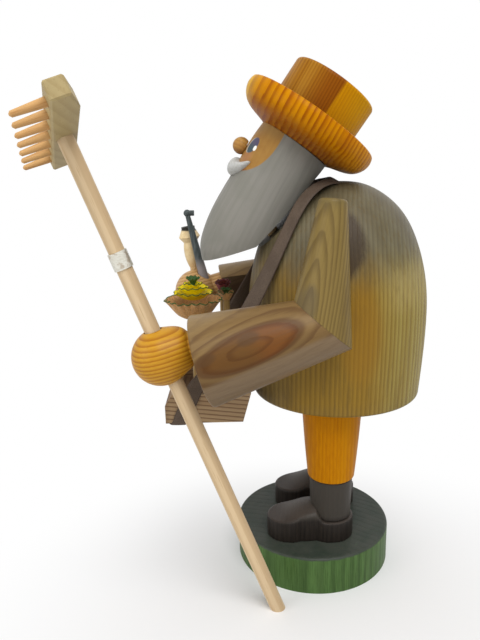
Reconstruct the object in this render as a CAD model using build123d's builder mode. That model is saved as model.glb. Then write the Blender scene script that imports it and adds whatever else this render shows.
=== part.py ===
from build123d import *
from math import cos, radians, sin, tan
import os

# Folk incense smoker: a turned wooden gardener with a peddler's tray and a rake.
# +Z is up, the figure faces -Y and its left side is +X.
# The origin is the centre of the base's underside. Lengths are in millimetres, angles in degrees.
# The upper half lifts off the legs so that an incense cone can be lit on the plate,
# and the smoke leaves through the coat's flue and the mouth.

# Clearances
glue_gap = 0.05
dowel_gap = 0.1
seat_gap = 0.3
handle_gap = 0.3
overrun = 1.0

# Base and legs
base_r = 34.0
base_h = 16.4
base_edge = 1.2
leg_x = 13.2
left_leg_y = 6.4
right_leg_y = 11.6
heel_r = 9.8
toe_r = 8.7
waist_w = 14.0
shoe_length = 37.6
shoe_h = 9.1
shoe_waist_fillet = 4.0
shoe_edge = 0.9
cuff_h = 18.5
cuff_bottom_r = 8.6
cuff_top_r = 9.2
cuff_edge = 0.6
leg_h = 38.0
hem_r = 9.9
knee_r = 11.6
thigh_r = 12.8
hem_edge = 0.9
tenon_r = 5.0
leg_dowel_r = 2.5
leg_dowel_in_base = 10.0
leg_dowel_in_leg = 12.0

# Seat disc and incense plate
seat_r = 29.7
seat_h = 6.0
vent_r = 3.0
vent_reach = 21.0
plate_r = 13.0
plate_wall = 0.8
plate_rim_h = 2.4
plate_bend = 1.5
nail_r = 0.7
nail_head_r = 1.6
nail_head_h = 0.7
nail_length = 4.5
nail_reach = 8.0

# Coat
coat_y = 9.6
coat_r = 37.0
coat_h = 88.3
coat_skirt = 3.0
coat_hem_edge = 1.6
chamber_r = 27.5
chamber_h = 42.0
chamber_roof_h = 18.0
coat_shares = [(0.951, 0.0), (1.0, 0.317), (0.985, 0.521), (0.868, 0.725), (0.676, 0.872), (0.36, 0.973), (0.0, 1.0)]
coat_flare_share = 0.08
arm_seat_row = 2
facet_drop = 12.2
facet_forward = 18.4
facet_angle = 43.8
flue_r = 3.0
flue_length = 21.0

# Head
head_tilt = 30.0
head_up_slope = 18.3
head_off_facet = 16.3
head_r = 19.2
head_length = 60.0
head_shares = [(-0.067, 0.865), (0.1, 0.948), (0.35, 0.975), (0.6, 1.0), (0.76, 0.94), (0.86, 0.83), (0.93, 0.63), (1.0, 0.3)]
beard_drop = 31.5
beard_cut_angle = 16.0
mouth_r = 2.0
head_dowel_r = 2.5
head_dowel_half = 8.0
head_dowel_drop = 11.0
nose_r = 3.4
nose_along = 9.0
nose_proud = 2.0
nose_seat_share = 0.962
nose_peg_r = 1.2
nose_peg_length = 3.0
moustache_half_w = 10.5
moustache_tip_along = 12.4
moustache_top_along = 14.6
moustache_h = 5.7
moustache_t = 3.0

# Hat
hat_tilt = 35.4
hat_rise = 1.55
hat_forward = 1.7
brim_r = 28.8
brim_h = 12.7
brim_seat_r = 15.5
brim_lip = 2.4
brim_floor = 5.2
brim_under_shares = [(0.71, 0.12), (0.9, 0.3), (1.0, 0.7), (0.985, 0.93)]
brim_dish_shares = [(0.86, 0.68)]
crown_r = 17.8
crown_h = 23.2
crown_dome = 1.0
crown_edge = 1.4
hat_dowel_r = 3.0
hat_dowel_depth = 8.0

# Arms
arm_toe_in = 4.0
arm_lean = 7.0
arm_flat_depth = 9.8
shoulder_forward = 5.2
shoulder_rise = 36.4
shoulder_r = 4.9
shoulder_edge = 1.4
arm_taper_share = 0.138
upper_arm_tilt = 5.9
upper_arm_length = 42.5
forearm_drop = 15.5
sleeve_edge = 0.7
forearm_length = 45.5
right_arm_back = 8.2
right_arm_rise = 4.0
shoulder_dowel_r = 2.5
shoulder_dowel_in_coat = 6.0
shoulder_dowel_in_arm = 7.0
shoulder_dowel_back = 1.0
shoulder_dowel_up = 3.0
elbow_dowel_r = 2.5
elbow_dowel_half = 8.0
wrist_dowel_r = 2.0
wrist_dowel_in_hand = 4.5
wrist_dowel_in_arm = 8.0
hand_r = 10.5
hand_neck_r = 5.6
hand_along = 13.8
left_hand_up = 5.7
right_hand_up = 8.2

# Rake
handle_r = 2.9
handle_length = 202.0
handle_lean = 20.2
handle_side_lean = 1.2
grip_back = 1.1
rake_turn = 20.0
rake_skew = 6.7
bar_length = 81.0
bar_front = 4.4
bar_back = 4.6
bar_h = 5.8
bar_chamfer_length = 14.0
bar_chamfer_depth = 3.0
bar_below_top = 3.1
bar_edge = 0.5
tooth_edge = 0.6
tooth_count = 7
tooth_margin = 8.4
tooth_r = 1.5
tooth_tip_r = 0.9
tooth_length = 10.5
tooth_peg = 4.0
band_along = 150.0
band_h = 6.2
band_t = 0.5
band_slot = 3.0

# Tray
tray_w = 52.0
tray_bottom_length = 31.0
tray_h = 12.0
tray_drop = 4.2
tray_rear_slant = 3.4
tray_front_h = 7.3
tray_front_cut = 2.8
board = 2.4
tray_gap = 0.2
tray_dowel_r = 1.5
tray_dowel_in_coat = 3.5
tray_dowel_up = 9.0

# Strap
strap_w = 6.3
strap_t = 1.0
strap_neck_x = 8.0
strap_neck_y = 9.4
strap_bend_x = 21.8
strap_bend_y = -2.2
strap_bend_r = 10.0
strap_leave_x = 23.4
strap_leave_y = -12.8
strap_leave_up = 65.3
strap_leave_rise = 0.5
strap_lap = 3.0
strap_foot_y = -57.8
strap_tab = 8.0

# Flowers in the tray
big_x = 8.0
big_y = -50.1
big_r = 11.7
big_z = 121.0
big_cup_h = 6.8
big_petals = 18
mid_r = 7.9
mid_rise = 5.6
mid_petals = 12
top_r = 4.4
top_rise = 8.4
top_petals = 8
tier_h = 3.6
petal_t = 0.7
stem_r = 1.5
small_x = -4.0
small_y = -37.0
small_r = 3.6
small_z = 121.9
small_cup_h = 3.4
small_petals = 8
red_x = -12.0
red_y = -38.5
red_r = 3.6
red_z = 124.6
red_cup_h = 3.8
red_petals = 7
petal_base_share = 0.4
petal_cup_share = 0.6
petal_lip_share = 0.16
petal_notch_share = 4.2
notch_sides = 3
notch_turn = 180
stem_depth = 1.4

# Pipe in the right hand, placed from the hand's centre
bowl_x = -3.4
bowl_y = -0.5
bowl_up = 7.6
bowl_tilt = 6.7
bowl_h = 24.0
bowl_foot_r = 2.1
bowl_body_r = 3.6
bowl_waist_r = 3.2
bowl_shares = [0.16, 0.4, 0.68, 0.79, 0.95]
bowl_flare_r = 5.2
bowl_rim_r = 3.3
bowl_bore_r = 2.2
bowl_bore_depth = 7.0
stem_x = 3.6
stem_y = 4.4
stem_up = 5.6
pipe_tilt = 12.4
pipe_bottom_r = 2.4
pipe_top_r = 1.1
pipe_length = 33.5
pipe_hook_r = 1.7
pipe_hook_tip = 1.6
pipe_tip_r = 1.3


# Heights that follow from the pieces below
shoe_z = base_h
cuff_z = shoe_z + shoe_h
leg_z = cuff_z + cuff_h
seat_z = leg_z + leg_h
plate_z = seat_z + seat_h
coat_z = seat_z - coat_skirt
coat_top_z = coat_z + coat_h
coat_bore_r = seat_r + seat_gap
coat_axis = Axis((0, coat_y, 0), (0, 0, 1))
coat_profile = Plane(origin=(0, coat_y, coat_z), x_dir=(1, 0, 0), z_dir=(0, -1, 0))
feet = {"left": (leg_x, left_leg_y), "right": (-leg_x, right_leg_y)}

# The facet is the sloping flat on the coat that the head is glued to.
facet_y = coat_y - facet_forward
facet_z = coat_top_z - facet_drop
facet_up = Vector(0, -sin(radians(facet_angle)), cos(radians(facet_angle)))
facet = Plane(origin=(0, facet_y, facet_z), x_dir=(1, 0, 0), z_dir=facet_up)

# The head's own plane has x down along the turning axis and y towards the back.
head_down = Vector(0, -sin(radians(head_tilt)), -cos(radians(head_tilt)))
head_origin = facet.from_local_coords(Vector(0, head_up_slope, head_off_facet))
head_side = Plane(origin=head_origin, x_dir=head_down, z_dir=(1, 0, 0))
head_axis = Axis(head_origin, head_down)
nose_seat = Plane(
    origin=head_side.from_local_coords(Vector(nose_along, -head_r * nose_seat_share, 0)),
    x_dir=(1, 0, 0),
    z_dir=-head_side.y_dir,
)

# The hat's plane stands on the sawn top of the head.
hat_up = Vector(0, sin(radians(hat_tilt)), cos(radians(hat_tilt)))
hat_origin = head_side.from_local_coords(Vector(-hat_rise, -hat_forward, 0))
hat_seat = Plane(origin=hat_origin, x_dir=(1, 0, 0), z_dir=hat_up)
hat_side = Plane(origin=hat_origin, x_dir=(1, 0, 0), z_dir=Vector(1, 0, 0).cross(hat_up))
hat_axis = Axis(hat_origin, hat_up)


def coat_points(extra):
    # Points of the coat's outside, grown outwards by extra
    return [((coat_r + extra) * r, (coat_h + extra) * z) for r, z in coat_shares]


def head_points(extra):
    # Points of the head's outside as distance down the axis and distance from it
    return [(head_length * d, (head_r + extra) * r) for d, r in head_shares]


# Base disc
with BuildPart() as base_disc:
    Cylinder(base_r, base_h, align=(Align.CENTER, Align.CENTER, Align.MIN))
    fillet(base_disc.edges().filter_by(GeomType.CIRCLE).sort_by(Axis.Z)[-1], base_edge)
    with BuildSketch(Plane.XY.offset(base_h)):
        with Locations(*feet.values()):
            Circle(leg_dowel_r + dowel_gap)
    extrude(amount=-leg_dowel_in_base - dowel_gap, mode=Mode.SUBTRACT)
base_disc.part.label = "base_disc"
export_step(base_disc.part, "parts/base_disc.step")

for side, (foot_x, foot_y) in feet.items():
    # Shoe: a heel round, a toe round and a narrower waist, sawn from board
    with BuildPart() as shoe:
        with BuildSketch(Plane.XY.offset(shoe_z)) as sole:
            with Locations((foot_x, foot_y)):
                Circle(heel_r)
            with Locations((foot_x, foot_y + heel_r + toe_r - shoe_length)):
                Circle(toe_r)
            with Locations((foot_x, foot_y)):
                Rectangle(waist_w, shoe_length - heel_r - toe_r, align=(Align.CENTER, Align.MAX))
            fillet(sole.vertices(), shoe_waist_fillet)
        extrude(amount=shoe_h)
        fillet(shoe.faces().sort_by(Axis.Z)[-1].edges(), shoe_edge)
        with Locations((foot_x, foot_y, cuff_z)):
            Hole(leg_dowel_r + dowel_gap)
    shoe.part.label = f"{side}_shoe"
    export_step(shoe.part, f"parts/{side}_shoe.step")

    # Boot shaft, a plain turned ring on the dowel
    with BuildPart() as boot_cuff:
        with Locations((foot_x, foot_y, cuff_z)):
            Cone(cuff_bottom_r, cuff_top_r, cuff_h, align=(Align.CENTER, Align.CENTER, Align.MIN))
        chamfer(boot_cuff.edges().filter_by(GeomType.CIRCLE), cuff_edge)
        with Locations((foot_x, foot_y, leg_z)):
            Hole(leg_dowel_r + dowel_gap)
    boot_cuff.part.label = f"{side}_boot_cuff"
    export_step(boot_cuff.part, f"parts/{side}_boot_cuff.step")

    # Trouser leg with its tenon, turned about its own axis
    leg_profile = Plane(origin=(foot_x, foot_y, leg_z), x_dir=(1, 0, 0), z_dir=(0, -1, 0))
    with BuildPart() as trouser_leg:
        with BuildSketch(leg_profile) as half_leg:
            with BuildLine():
                Line((0, 0), (hem_r, 0))
                ThreePointArc((hem_r, 0), (knee_r, leg_h / 2), (thigh_r, leg_h))
                Line((thigh_r, leg_h), (tenon_r, leg_h))
                Line((tenon_r, leg_h), (tenon_r, leg_h + seat_h))
                Line((tenon_r, leg_h + seat_h), (0, leg_h + seat_h))
                Line((0, leg_h + seat_h), (0, 0))
            make_face()
            fillet(half_leg.vertices().group_by(Axis.Y)[0].sort_by(Axis.X)[-1], hem_edge)
        revolve(axis=Axis((foot_x, foot_y, leg_z), (0, 0, 1)))
        with BuildSketch(Plane.XY.offset(leg_z)):
            with Locations((foot_x, foot_y)):
                Circle(leg_dowel_r + dowel_gap)
        extrude(amount=leg_dowel_in_leg + dowel_gap, mode=Mode.SUBTRACT)
    trouser_leg.part.label = f"{side}_trouser_leg"
    export_step(trouser_leg.part, f"parts/{side}_trouser_leg.step")

    # Dowel through shoe and boot, from the base into the leg
    with BuildPart() as leg_dowel:
        with BuildSketch(Plane.XY.offset(base_h - leg_dowel_in_base)):
            with Locations((foot_x, foot_y)):
                Circle(leg_dowel_r)
        extrude(amount=leg_dowel_in_base + shoe_h + cuff_h + leg_dowel_in_leg)
    leg_dowel.part.label = f"{side}_leg_dowel"
    export_step(leg_dowel.part, f"parts/{side}_leg_dowel.step")

# Seat disc: the spigot that the coat drops over, with holes for the tenons, the air and the nails
nail_spots = [(0, coat_y - nail_reach), (0, coat_y + nail_reach)]
with BuildPart() as seat_disc:
    with BuildSketch(Plane.XY.offset(seat_z)):
        with Locations((0, coat_y)):
            Circle(seat_r)
        with Locations(*feet.values()):
            Circle(tenon_r + dowel_gap, mode=Mode.SUBTRACT)
        with Locations((0, coat_y - vent_reach), (0, coat_y + vent_reach)):
            Circle(vent_r, mode=Mode.SUBTRACT)
    extrude(amount=seat_h)
    with BuildSketch(Plane.XY.offset(plate_z)):
        with Locations(*nail_spots):
            Circle(nail_r + glue_gap)
    extrude(amount=-nail_length, mode=Mode.SUBTRACT)
seat_disc.part.label = "seat_disc"
export_step(seat_disc.part, "parts/seat_disc.step")

# Incense plate: a shallow pressed dish
plate_profile = Plane(origin=(0, coat_y, plate_z), x_dir=(1, 0, 0), z_dir=(0, -1, 0))
with BuildPart() as incense_plate:
    with BuildSketch(plate_profile):
        with BuildLine():
            Line((0, 0), (plate_r - plate_bend, 0))
            Line((plate_r - plate_bend, 0), (plate_r, plate_rim_h))
            Line((plate_r, plate_rim_h), (plate_r - plate_wall, plate_rim_h))
            Line((plate_r - plate_wall, plate_rim_h), (plate_r - plate_bend - plate_wall, plate_wall))
            Line((plate_r - plate_bend - plate_wall, plate_wall), (0, plate_wall))
            Line((0, plate_wall), (0, 0))
        make_face()
    revolve(axis=coat_axis)
    with Locations(*[(x, y, plate_z + plate_wall) for x, y in nail_spots]):
        Hole(nail_r + glue_gap)
incense_plate.part.label = "incense_plate"
export_step(incense_plate.part, "parts/incense_plate.step")

# Two nails that hold the plate down
with BuildPart() as plate_nails:
    with BuildSketch(Plane.XY.offset(plate_z + plate_wall)):
        with Locations(*nail_spots):
            Circle(nail_head_r)
    extrude(amount=nail_head_h)
    with BuildSketch(Plane.XY.offset(plate_z + plate_wall)):
        with Locations(*nail_spots):
            Circle(nail_r)
    extrude(amount=-plate_wall - nail_length + glue_gap)
plate_nails.part.label = "plate_nails"
export_step(plate_nails.part, "parts/plate_nails.step")


def arm_frame(side):
    # Plane of one arm: x forwards, y up, through both of the arm's turning axes.
    # The arm leans in at the top and its flat side lies on the widest part of the coat.
    sign = 1 if side == "left" else -1
    toe = radians(arm_toe_in)
    lean = radians(arm_lean)
    outwards = Vector(sign * cos(toe) * cos(lean), -sin(toe) * cos(lean), sin(lean))
    forwards = Vector(-sign * sin(toe), -cos(toe), 0)
    touch_share, height_share = coat_shares[arm_seat_row]
    touch_r = coat_r * touch_share + glue_gap
    touch = Vector(sign * touch_r * cos(toe), coat_y - touch_r * sin(toe), coat_z + coat_h * height_share)
    return Plane(origin=touch + outwards * arm_flat_depth, x_dir=forwards, z_dir=outwards * -sign)


def along(plane, angle):
    # Direction in a plane, measured from straight down towards the front
    tip = Vector(sin(radians(angle)), -cos(radians(angle)), 0)
    return plane.from_local_coords(tip) - plane.origin


arms = {}
for side in ("left", "right"):
    # The whole arm is one cone, sawn at the elbow and turned half round to make the bend.
    frame = arm_frame(side)
    back = right_arm_back if side == "right" else 0
    rise = right_arm_rise if side == "right" else 0
    forearm_angle = 90 - forearm_drop
    mitre_angle = (upper_arm_tilt + forearm_angle) / 2
    bevel = radians(mitre_angle - upper_arm_tilt)
    elbow_r = shoulder_r + arm_taper_share * upper_arm_length
    near_r = elbow_r / (1 + arm_taper_share * tan(bevel))
    far_r = elbow_r / (1 - arm_taper_share * tan(bevel))
    shoulder = frame.from_local_coords(Vector(shoulder_forward - back, shoulder_rise + rise, 0))
    upper_axis = along(frame, upper_arm_tilt)
    fore_axis = along(frame, forearm_angle)
    mitre_normal = along(frame, mitre_angle)
    mitre_slope = along(frame, mitre_angle + 90)
    elbow = shoulder + upper_axis * upper_arm_length
    mitre_centre = elbow - mitre_slope * ((far_r - near_r) / 2 / cos(bevel))
    elbow_turned = mitre_centre * 2 - elbow
    wrist = elbow_turned + fore_axis * forearm_length
    hand_up = left_hand_up if side == "left" else right_hand_up
    hand_centre = wrist + fore_axis * hand_along + along(frame, forearm_angle + 90) * hand_up
    arms[side] = dict(
        frame=frame,
        flat=frame.offset(arm_flat_depth if side == "left" else -arm_flat_depth),
        inner=Keep.BOTTOM if side == "left" else Keep.TOP,
        shoulder=Plane(origin=shoulder, x_dir=frame.z_dir, z_dir=upper_axis),
        mitre=Plane(origin=mitre_centre, x_dir=frame.z_dir, z_dir=mitre_normal),
        forearm=Plane(origin=elbow_turned, x_dir=frame.z_dir, z_dir=fore_axis),
        wrist=Plane(origin=wrist, x_dir=frame.z_dir, z_dir=fore_axis),
        hand=Plane(origin=hand_centre, x_dir=frame.z_dir, z_dir=fore_axis),
        peg=frame.from_local_coords(Vector(shoulder_forward - back - shoulder_dowel_back, shoulder_dowel_up, 0)),
    )


def shoulder_peg(side):
    # Plane of the dowel between an arm and the coat, on the arm's flat, pointing out of the coat
    arm = arms[side]
    outwards = arm["frame"].z_dir * (-1 if side == "left" else 1)
    on_flat = arm["peg"] - outwards * arm_flat_depth
    return Plane(origin=on_flat, z_dir=outwards)


# Tray outline in its own plane: x backwards from the tray's front, y up
coat_front_y = coat_y - coat_r
tray_z = coat_z - tray_drop
tray_rear_y = coat_front_y - tray_gap
tray_front_y = tray_rear_y - tray_rear_slant - tray_bottom_length
tray_side = Plane(origin=(0, tray_front_y, tray_z), x_dir=(0, 1, 0), z_dir=(1, 0, 0))
tray_rear_foot = tray_bottom_length
tray_rear_head = tray_bottom_length + tray_rear_slant
tray_peg = Plane(origin=(0, tray_rear_y, tray_z + tray_dowel_up), x_dir=(1, 0, 0), z_dir=(0, 1, 0))

# Coat: turned hollow with a seat for the disc, a conical roof, a facet for the head and a flue
with BuildPart() as coat:
    with BuildSketch(coat_profile) as half_coat:
        with BuildLine():
            Spline(*coat_points(0), tangents=[(coat_flare_share, 1), (-1, 0)])
            Line((0, coat_h), (0, coat_skirt + seat_h + chamber_h + chamber_roof_h))
            Line((0, coat_skirt + seat_h + chamber_h + chamber_roof_h), (chamber_r, coat_skirt + seat_h + chamber_h))
            Line((chamber_r, coat_skirt + seat_h + chamber_h), (chamber_r, coat_skirt + seat_h))
            Line((chamber_r, coat_skirt + seat_h), (coat_bore_r, coat_skirt + seat_h))
            Line((coat_bore_r, coat_skirt + seat_h), (coat_bore_r, 0))
            Line((coat_bore_r, 0), (coat_r * coat_shares[0][0], 0))
        make_face()
        fillet(half_coat.vertices().group_by(Axis.Y)[0].sort_by(Axis.X)[-1], coat_hem_edge)
    revolve(axis=coat_axis)
    split(bisect_by=facet, keep=Keep.BOTTOM)
    with BuildSketch(facet.offset(overrun)):
        Circle(flue_r)
    extrude(amount=-flue_length - overrun, mode=Mode.SUBTRACT)
    with BuildSketch(facet):
        with Locations((0, -head_dowel_drop)):
            Circle(head_dowel_r + dowel_gap)
    extrude(amount=-head_dowel_half - dowel_gap, mode=Mode.SUBTRACT)
    for side in ("left", "right"):
        with BuildSketch(shoulder_peg(side).offset(overrun)):
            Circle(shoulder_dowel_r + dowel_gap)
        extrude(amount=-shoulder_dowel_in_coat - overrun - dowel_gap, mode=Mode.SUBTRACT)
    with BuildSketch(tray_peg):
        Circle(tray_dowel_r + dowel_gap)
    extrude(amount=tray_gap + tray_dowel_in_coat + dowel_gap, mode=Mode.SUBTRACT)
coat.part.label = "coat"
export_step(coat.part, "parts/coat.step")

# Head: one turned piece for face, hair and beard, sawn flat at the hat, the beard's foot and the back
beard_cut = Plane(
    origin=head_origin - Vector(0, 0, beard_drop),
    x_dir=(1, 0, 0),
    z_dir=(0, -sin(radians(beard_cut_angle)), cos(radians(beard_cut_angle))),
)
with BuildPart() as head:
    with BuildSketch(head_side):
        with BuildLine():
            outside = Spline(*head_points(0))
            Line(outside @ 1, (head_length * head_shares[-1][0], 0))
            Line((head_length * head_shares[-1][0], 0), (head_length * head_shares[0][0], 0))
            Line((head_length * head_shares[0][0], 0), outside @ 0)
        make_face()
    revolve(axis=head_axis)
    split(bisect_by=hat_seat, keep=Keep.BOTTOM)
    split(bisect_by=facet.offset(glue_gap), keep=Keep.TOP)
    split(bisect_by=beard_cut, keep=Keep.TOP)
    # Smoke channel from the facet to the mouth
    with BuildSketch(Plane(origin=facet.origin, z_dir=-head_side.y_dir)):
        Circle(mouth_r)
    extrude(amount=head_r * 2, both=True, mode=Mode.SUBTRACT)
    with BuildSketch(facet):
        with Locations((0, -head_dowel_drop)):
            Circle(head_dowel_r + dowel_gap)
    extrude(amount=head_dowel_half + dowel_gap, mode=Mode.SUBTRACT)
    with BuildSketch(hat_seat):
        Circle(hat_dowel_r + dowel_gap)
    extrude(amount=-hat_dowel_depth - dowel_gap, mode=Mode.SUBTRACT)
    with BuildSketch(nose_seat.offset(overrun)):
        Circle(nose_peg_r + dowel_gap)
    extrude(amount=-nose_peg_length - overrun - dowel_gap, mode=Mode.SUBTRACT)
head.part.label = "head"
export_step(head.part, "parts/head.step")

# Dowel between the head and the coat
with BuildPart() as head_dowel:
    with BuildSketch(facet.offset(-head_dowel_half)):
        with Locations((0, -head_dowel_drop)):
            Circle(head_dowel_r)
    extrude(amount=head_dowel_half * 2)
head_dowel.part.label = "head_dowel"
export_step(head_dowel.part, "parts/head_dowel.step")

# Nose: a turned ball with a peg
with BuildPart(nose_seat.offset(nose_proud)) as nose:
    Sphere(nose_r)
    split(bisect_by=nose_seat.offset(glue_gap), keep=Keep.TOP)
    with BuildSketch(nose_seat.offset(nose_proud)):
        Circle(nose_peg_r)
    extrude(amount=-nose_proud - nose_peg_length)
nose.part.label = "nose"
export_step(nose.part, "parts/nose.step")

# Moustache: a crescent bent round the face
with BuildPart() as moustache:
    with BuildSketch(head_side):
        with BuildLine():
            skin = Spline(*head_points(glue_gap))
            rim = Spline(*head_points(moustache_t))
            Line(skin @ 0, rim @ 0)
            Line(skin @ 1, rim @ 1)
        make_face()
    revolve(axis=head_axis)
    with BuildSketch(Plane(origin=head_origin, x_dir=(1, 0, 0), z_dir=-head_side.y_dir)):
        with BuildLine():
            tip = moustache_half_w
            upper = (0, -moustache_top_along)
            lower = (0, -moustache_top_along - moustache_h)
            ThreePointArc((-tip, -moustache_tip_along), upper, (tip, -moustache_tip_along))
            ThreePointArc((-tip, -moustache_tip_along), lower, (tip, -moustache_tip_along))
        make_face()
    extrude(amount=head_r + moustache_t + overrun, mode=Mode.INTERSECT)
moustache.part.label = "moustache"
export_step(moustache.part, "parts/moustache.step")

# Hat brim: a turned dish with a rounded lip
with BuildPart() as hat_brim:
    with BuildSketch(hat_side):
        with BuildLine():
            under = Spline((brim_seat_r, 0), *[(brim_r * r, brim_h * h) for r, h in brim_under_shares])
            dish_edge = (brim_r - brim_lip, brim_h - brim_lip / 2)
            lip = TangentArc(under @ 1, dish_edge, tangent=under % 1)
            dish = Spline(dish_edge, *[(brim_r * r, brim_h * h) for r, h in brim_dish_shares], (crown_r, brim_floor))
            Line(dish @ 1, (0, brim_floor))
            Line((0, brim_floor), (0, 0))
            Line((0, 0), under @ 0)
        make_face()
    revolve(axis=hat_axis)
    with BuildSketch(hat_seat):
        Circle(hat_dowel_r + dowel_gap)
    extrude(amount=brim_h, mode=Mode.SUBTRACT)
hat_brim.part.label = "hat_brim"
export_step(hat_brim.part, "parts/hat_brim.step")

# Hat crown: a turned block with a slightly domed top
with BuildPart() as hat_crown:
    with BuildSketch(hat_side) as half_crown:
        with BuildLine():
            crown_top = brim_floor + crown_h
            Line((0, brim_floor), (crown_r, brim_floor))
            Line((crown_r, brim_floor), (crown_r, crown_top - crown_dome))
            TangentArc((0, crown_top), (crown_r, crown_top - crown_dome), tangent=(1, 0))
            Line((0, crown_top), (0, brim_floor))
        make_face()
        fillet(half_crown.vertices().group_by(Axis.X)[-1].sort_by(Axis.Y)[-1], crown_edge)
    revolve(axis=hat_axis)
    with BuildSketch(hat_seat.offset(brim_floor)):
        Circle(hat_dowel_r + dowel_gap)
    extrude(amount=hat_dowel_depth + dowel_gap, mode=Mode.SUBTRACT)
hat_crown.part.label = "hat_crown"
export_step(hat_crown.part, "parts/hat_crown.step")

# Dowel through the brim, from the head into the crown
with BuildPart() as hat_dowel:
    with BuildSketch(hat_seat.offset(-hat_dowel_depth)):
        Circle(hat_dowel_r)
    extrude(amount=hat_dowel_depth * 2 + brim_floor)
hat_dowel.part.label = "hat_dowel"
export_step(hat_dowel.part, "parts/hat_dowel.step")

# The rake's handle runs through the left hand and stands on the table beside the base.
lean = radians(handle_lean)
side_lean = radians(handle_side_lean)
handle_up = Vector(sin(side_lean), -cos(side_lean) * sin(lean), cos(side_lean) * cos(lean))
grip = arms["left"]["hand"].offset(-grip_back).origin
handle_foot = grip - handle_up * (grip.Z / handle_up.Z)
handle = Plane(origin=handle_foot, x_dir=Vector(-1, 0, 0) + handle_up * handle_up.X, z_dir=handle_up)
grip_plane = Plane(origin=grip, z_dir=handle_up)

# The pipe's bowl and stem stand in holes in the right hand.
fist = arms["right"]["hand"].origin
bowl_lean = radians(bowl_tilt)
pipe_lean = radians(pipe_tilt)
bowl_base = Plane(
    origin=fist + Vector(bowl_x, bowl_y, bowl_up),
    x_dir=(1, 0, 0),
    z_dir=(0, -sin(bowl_lean), cos(bowl_lean)),
)
stem_base = Plane(
    origin=fist + Vector(stem_x, stem_y, stem_up),
    x_dir=(1, 0, 0),
    z_dir=(0, -sin(pipe_lean), cos(pipe_lean)),
)

for side, arm in arms.items():
    # Upper arm: the cone's thin end, rounded at the shoulder and flat against the coat
    reach = upper_arm_length * 2
    with BuildPart(arm["shoulder"]) as upper_arm:
        Cone(shoulder_r, shoulder_r + arm_taper_share * reach, reach, align=(Align.CENTER, Align.CENTER, Align.MIN))
        fillet(upper_arm.edges().filter_by(GeomType.CIRCLE).sort_by(Axis.Z)[-1], shoulder_edge)
        split(bisect_by=arm["mitre"].offset(-glue_gap), keep=Keep.BOTTOM)
        split(bisect_by=arm["flat"], keep=arm["inner"])
        with BuildSketch(arm["mitre"]):
            Circle(elbow_dowel_r + dowel_gap)
        extrude(amount=-elbow_dowel_half - dowel_gap, mode=Mode.SUBTRACT)
        with BuildSketch(shoulder_peg(side).offset(-overrun)):
            Circle(shoulder_dowel_r + dowel_gap)
        extrude(amount=shoulder_dowel_in_arm + overrun + dowel_gap, mode=Mode.SUBTRACT)
    upper_arm.part.label = f"{side}_upper_arm"
    export_step(upper_arm.part, f"parts/{side}_upper_arm.step")

    # Forearm: the cone's thick end, with the same mitre and flat
    with BuildPart(arm["forearm"].offset(-upper_arm_length / 2)) as forearm:
        Cone(
            elbow_r - arm_taper_share * upper_arm_length / 2,
            elbow_r + arm_taper_share * forearm_length,
            forearm_length + upper_arm_length / 2,
            align=(Align.CENTER, Align.CENTER, Align.MIN),
        )
        split(bisect_by=arm["mitre"], keep=Keep.TOP)
        split(bisect_by=arm["flat"], keep=arm["inner"])
        fillet(forearm.faces().sort_by(Axis(arm["wrist"].origin, arm["wrist"].z_dir))[-1].edges(), sleeve_edge)
        with BuildSketch(arm["mitre"]):
            Circle(elbow_dowel_r + dowel_gap)
        extrude(amount=elbow_dowel_half + dowel_gap, mode=Mode.SUBTRACT)
        with BuildSketch(Plane(origin=arm["hand"].origin, z_dir=arm["hand"].z_dir)):
            Circle(wrist_dowel_r + dowel_gap)
        extrude(amount=-hand_along - wrist_dowel_in_arm - dowel_gap, mode=Mode.SUBTRACT)
    forearm.part.label = f"{side}_forearm"
    export_step(forearm.part, f"parts/{side}_forearm.step")

    # Dowels of the shoulder and the elbow
    with BuildPart() as shoulder_dowel:
        with BuildSketch(shoulder_peg(side).offset(-shoulder_dowel_in_coat)):
            Circle(shoulder_dowel_r)
        extrude(amount=shoulder_dowel_in_coat + shoulder_dowel_in_arm)
    shoulder_dowel.part.label = f"{side}_shoulder_dowel"
    export_step(shoulder_dowel.part, f"parts/{side}_shoulder_dowel.step")

    with BuildPart() as elbow_dowel:
        with BuildSketch(arm["mitre"].offset(-elbow_dowel_half)):
            Circle(elbow_dowel_r)
        extrude(amount=elbow_dowel_half * 2)
    elbow_dowel.part.label = f"{side}_elbow_dowel"
    export_step(elbow_dowel.part, f"parts/{side}_elbow_dowel.step")

    # Hand: a turned ball on a short neck
    with BuildPart(arm["hand"]) as hand:
        Sphere(hand_r)
        with BuildSketch(arm["hand"]):
            Circle(hand_neck_r)
        extrude(amount=-hand_along + glue_gap)
        if side == "left":
            with BuildSketch(grip_plane):
                Circle(handle_r + handle_gap)
            extrude(amount=hand_r + overrun, both=True, mode=Mode.SUBTRACT)
        else:
            with BuildSketch(bowl_base):
                Circle(bowl_foot_r + dowel_gap)
            extrude(amount=hand_r, mode=Mode.SUBTRACT)
            with BuildSketch(stem_base):
                Circle(pipe_bottom_r + dowel_gap)
            extrude(amount=hand_r, mode=Mode.SUBTRACT)
        with BuildSketch(arm["hand"].offset(-hand_along)):
            Circle(wrist_dowel_r + dowel_gap)
        extrude(amount=wrist_dowel_in_hand + dowel_gap, mode=Mode.SUBTRACT)
    hand.part.label = f"{side}_hand"
    export_step(hand.part, f"parts/{side}_hand.step")

    with BuildPart() as wrist_dowel:
        with BuildSketch(arm["hand"].offset(-hand_along - wrist_dowel_in_arm)):
            Circle(wrist_dowel_r)
        extrude(amount=wrist_dowel_in_arm + wrist_dowel_in_hand)
    wrist_dowel.part.label = f"{side}_wrist_dowel"
    export_step(wrist_dowel.part, f"parts/{side}_wrist_dowel.step")

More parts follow.
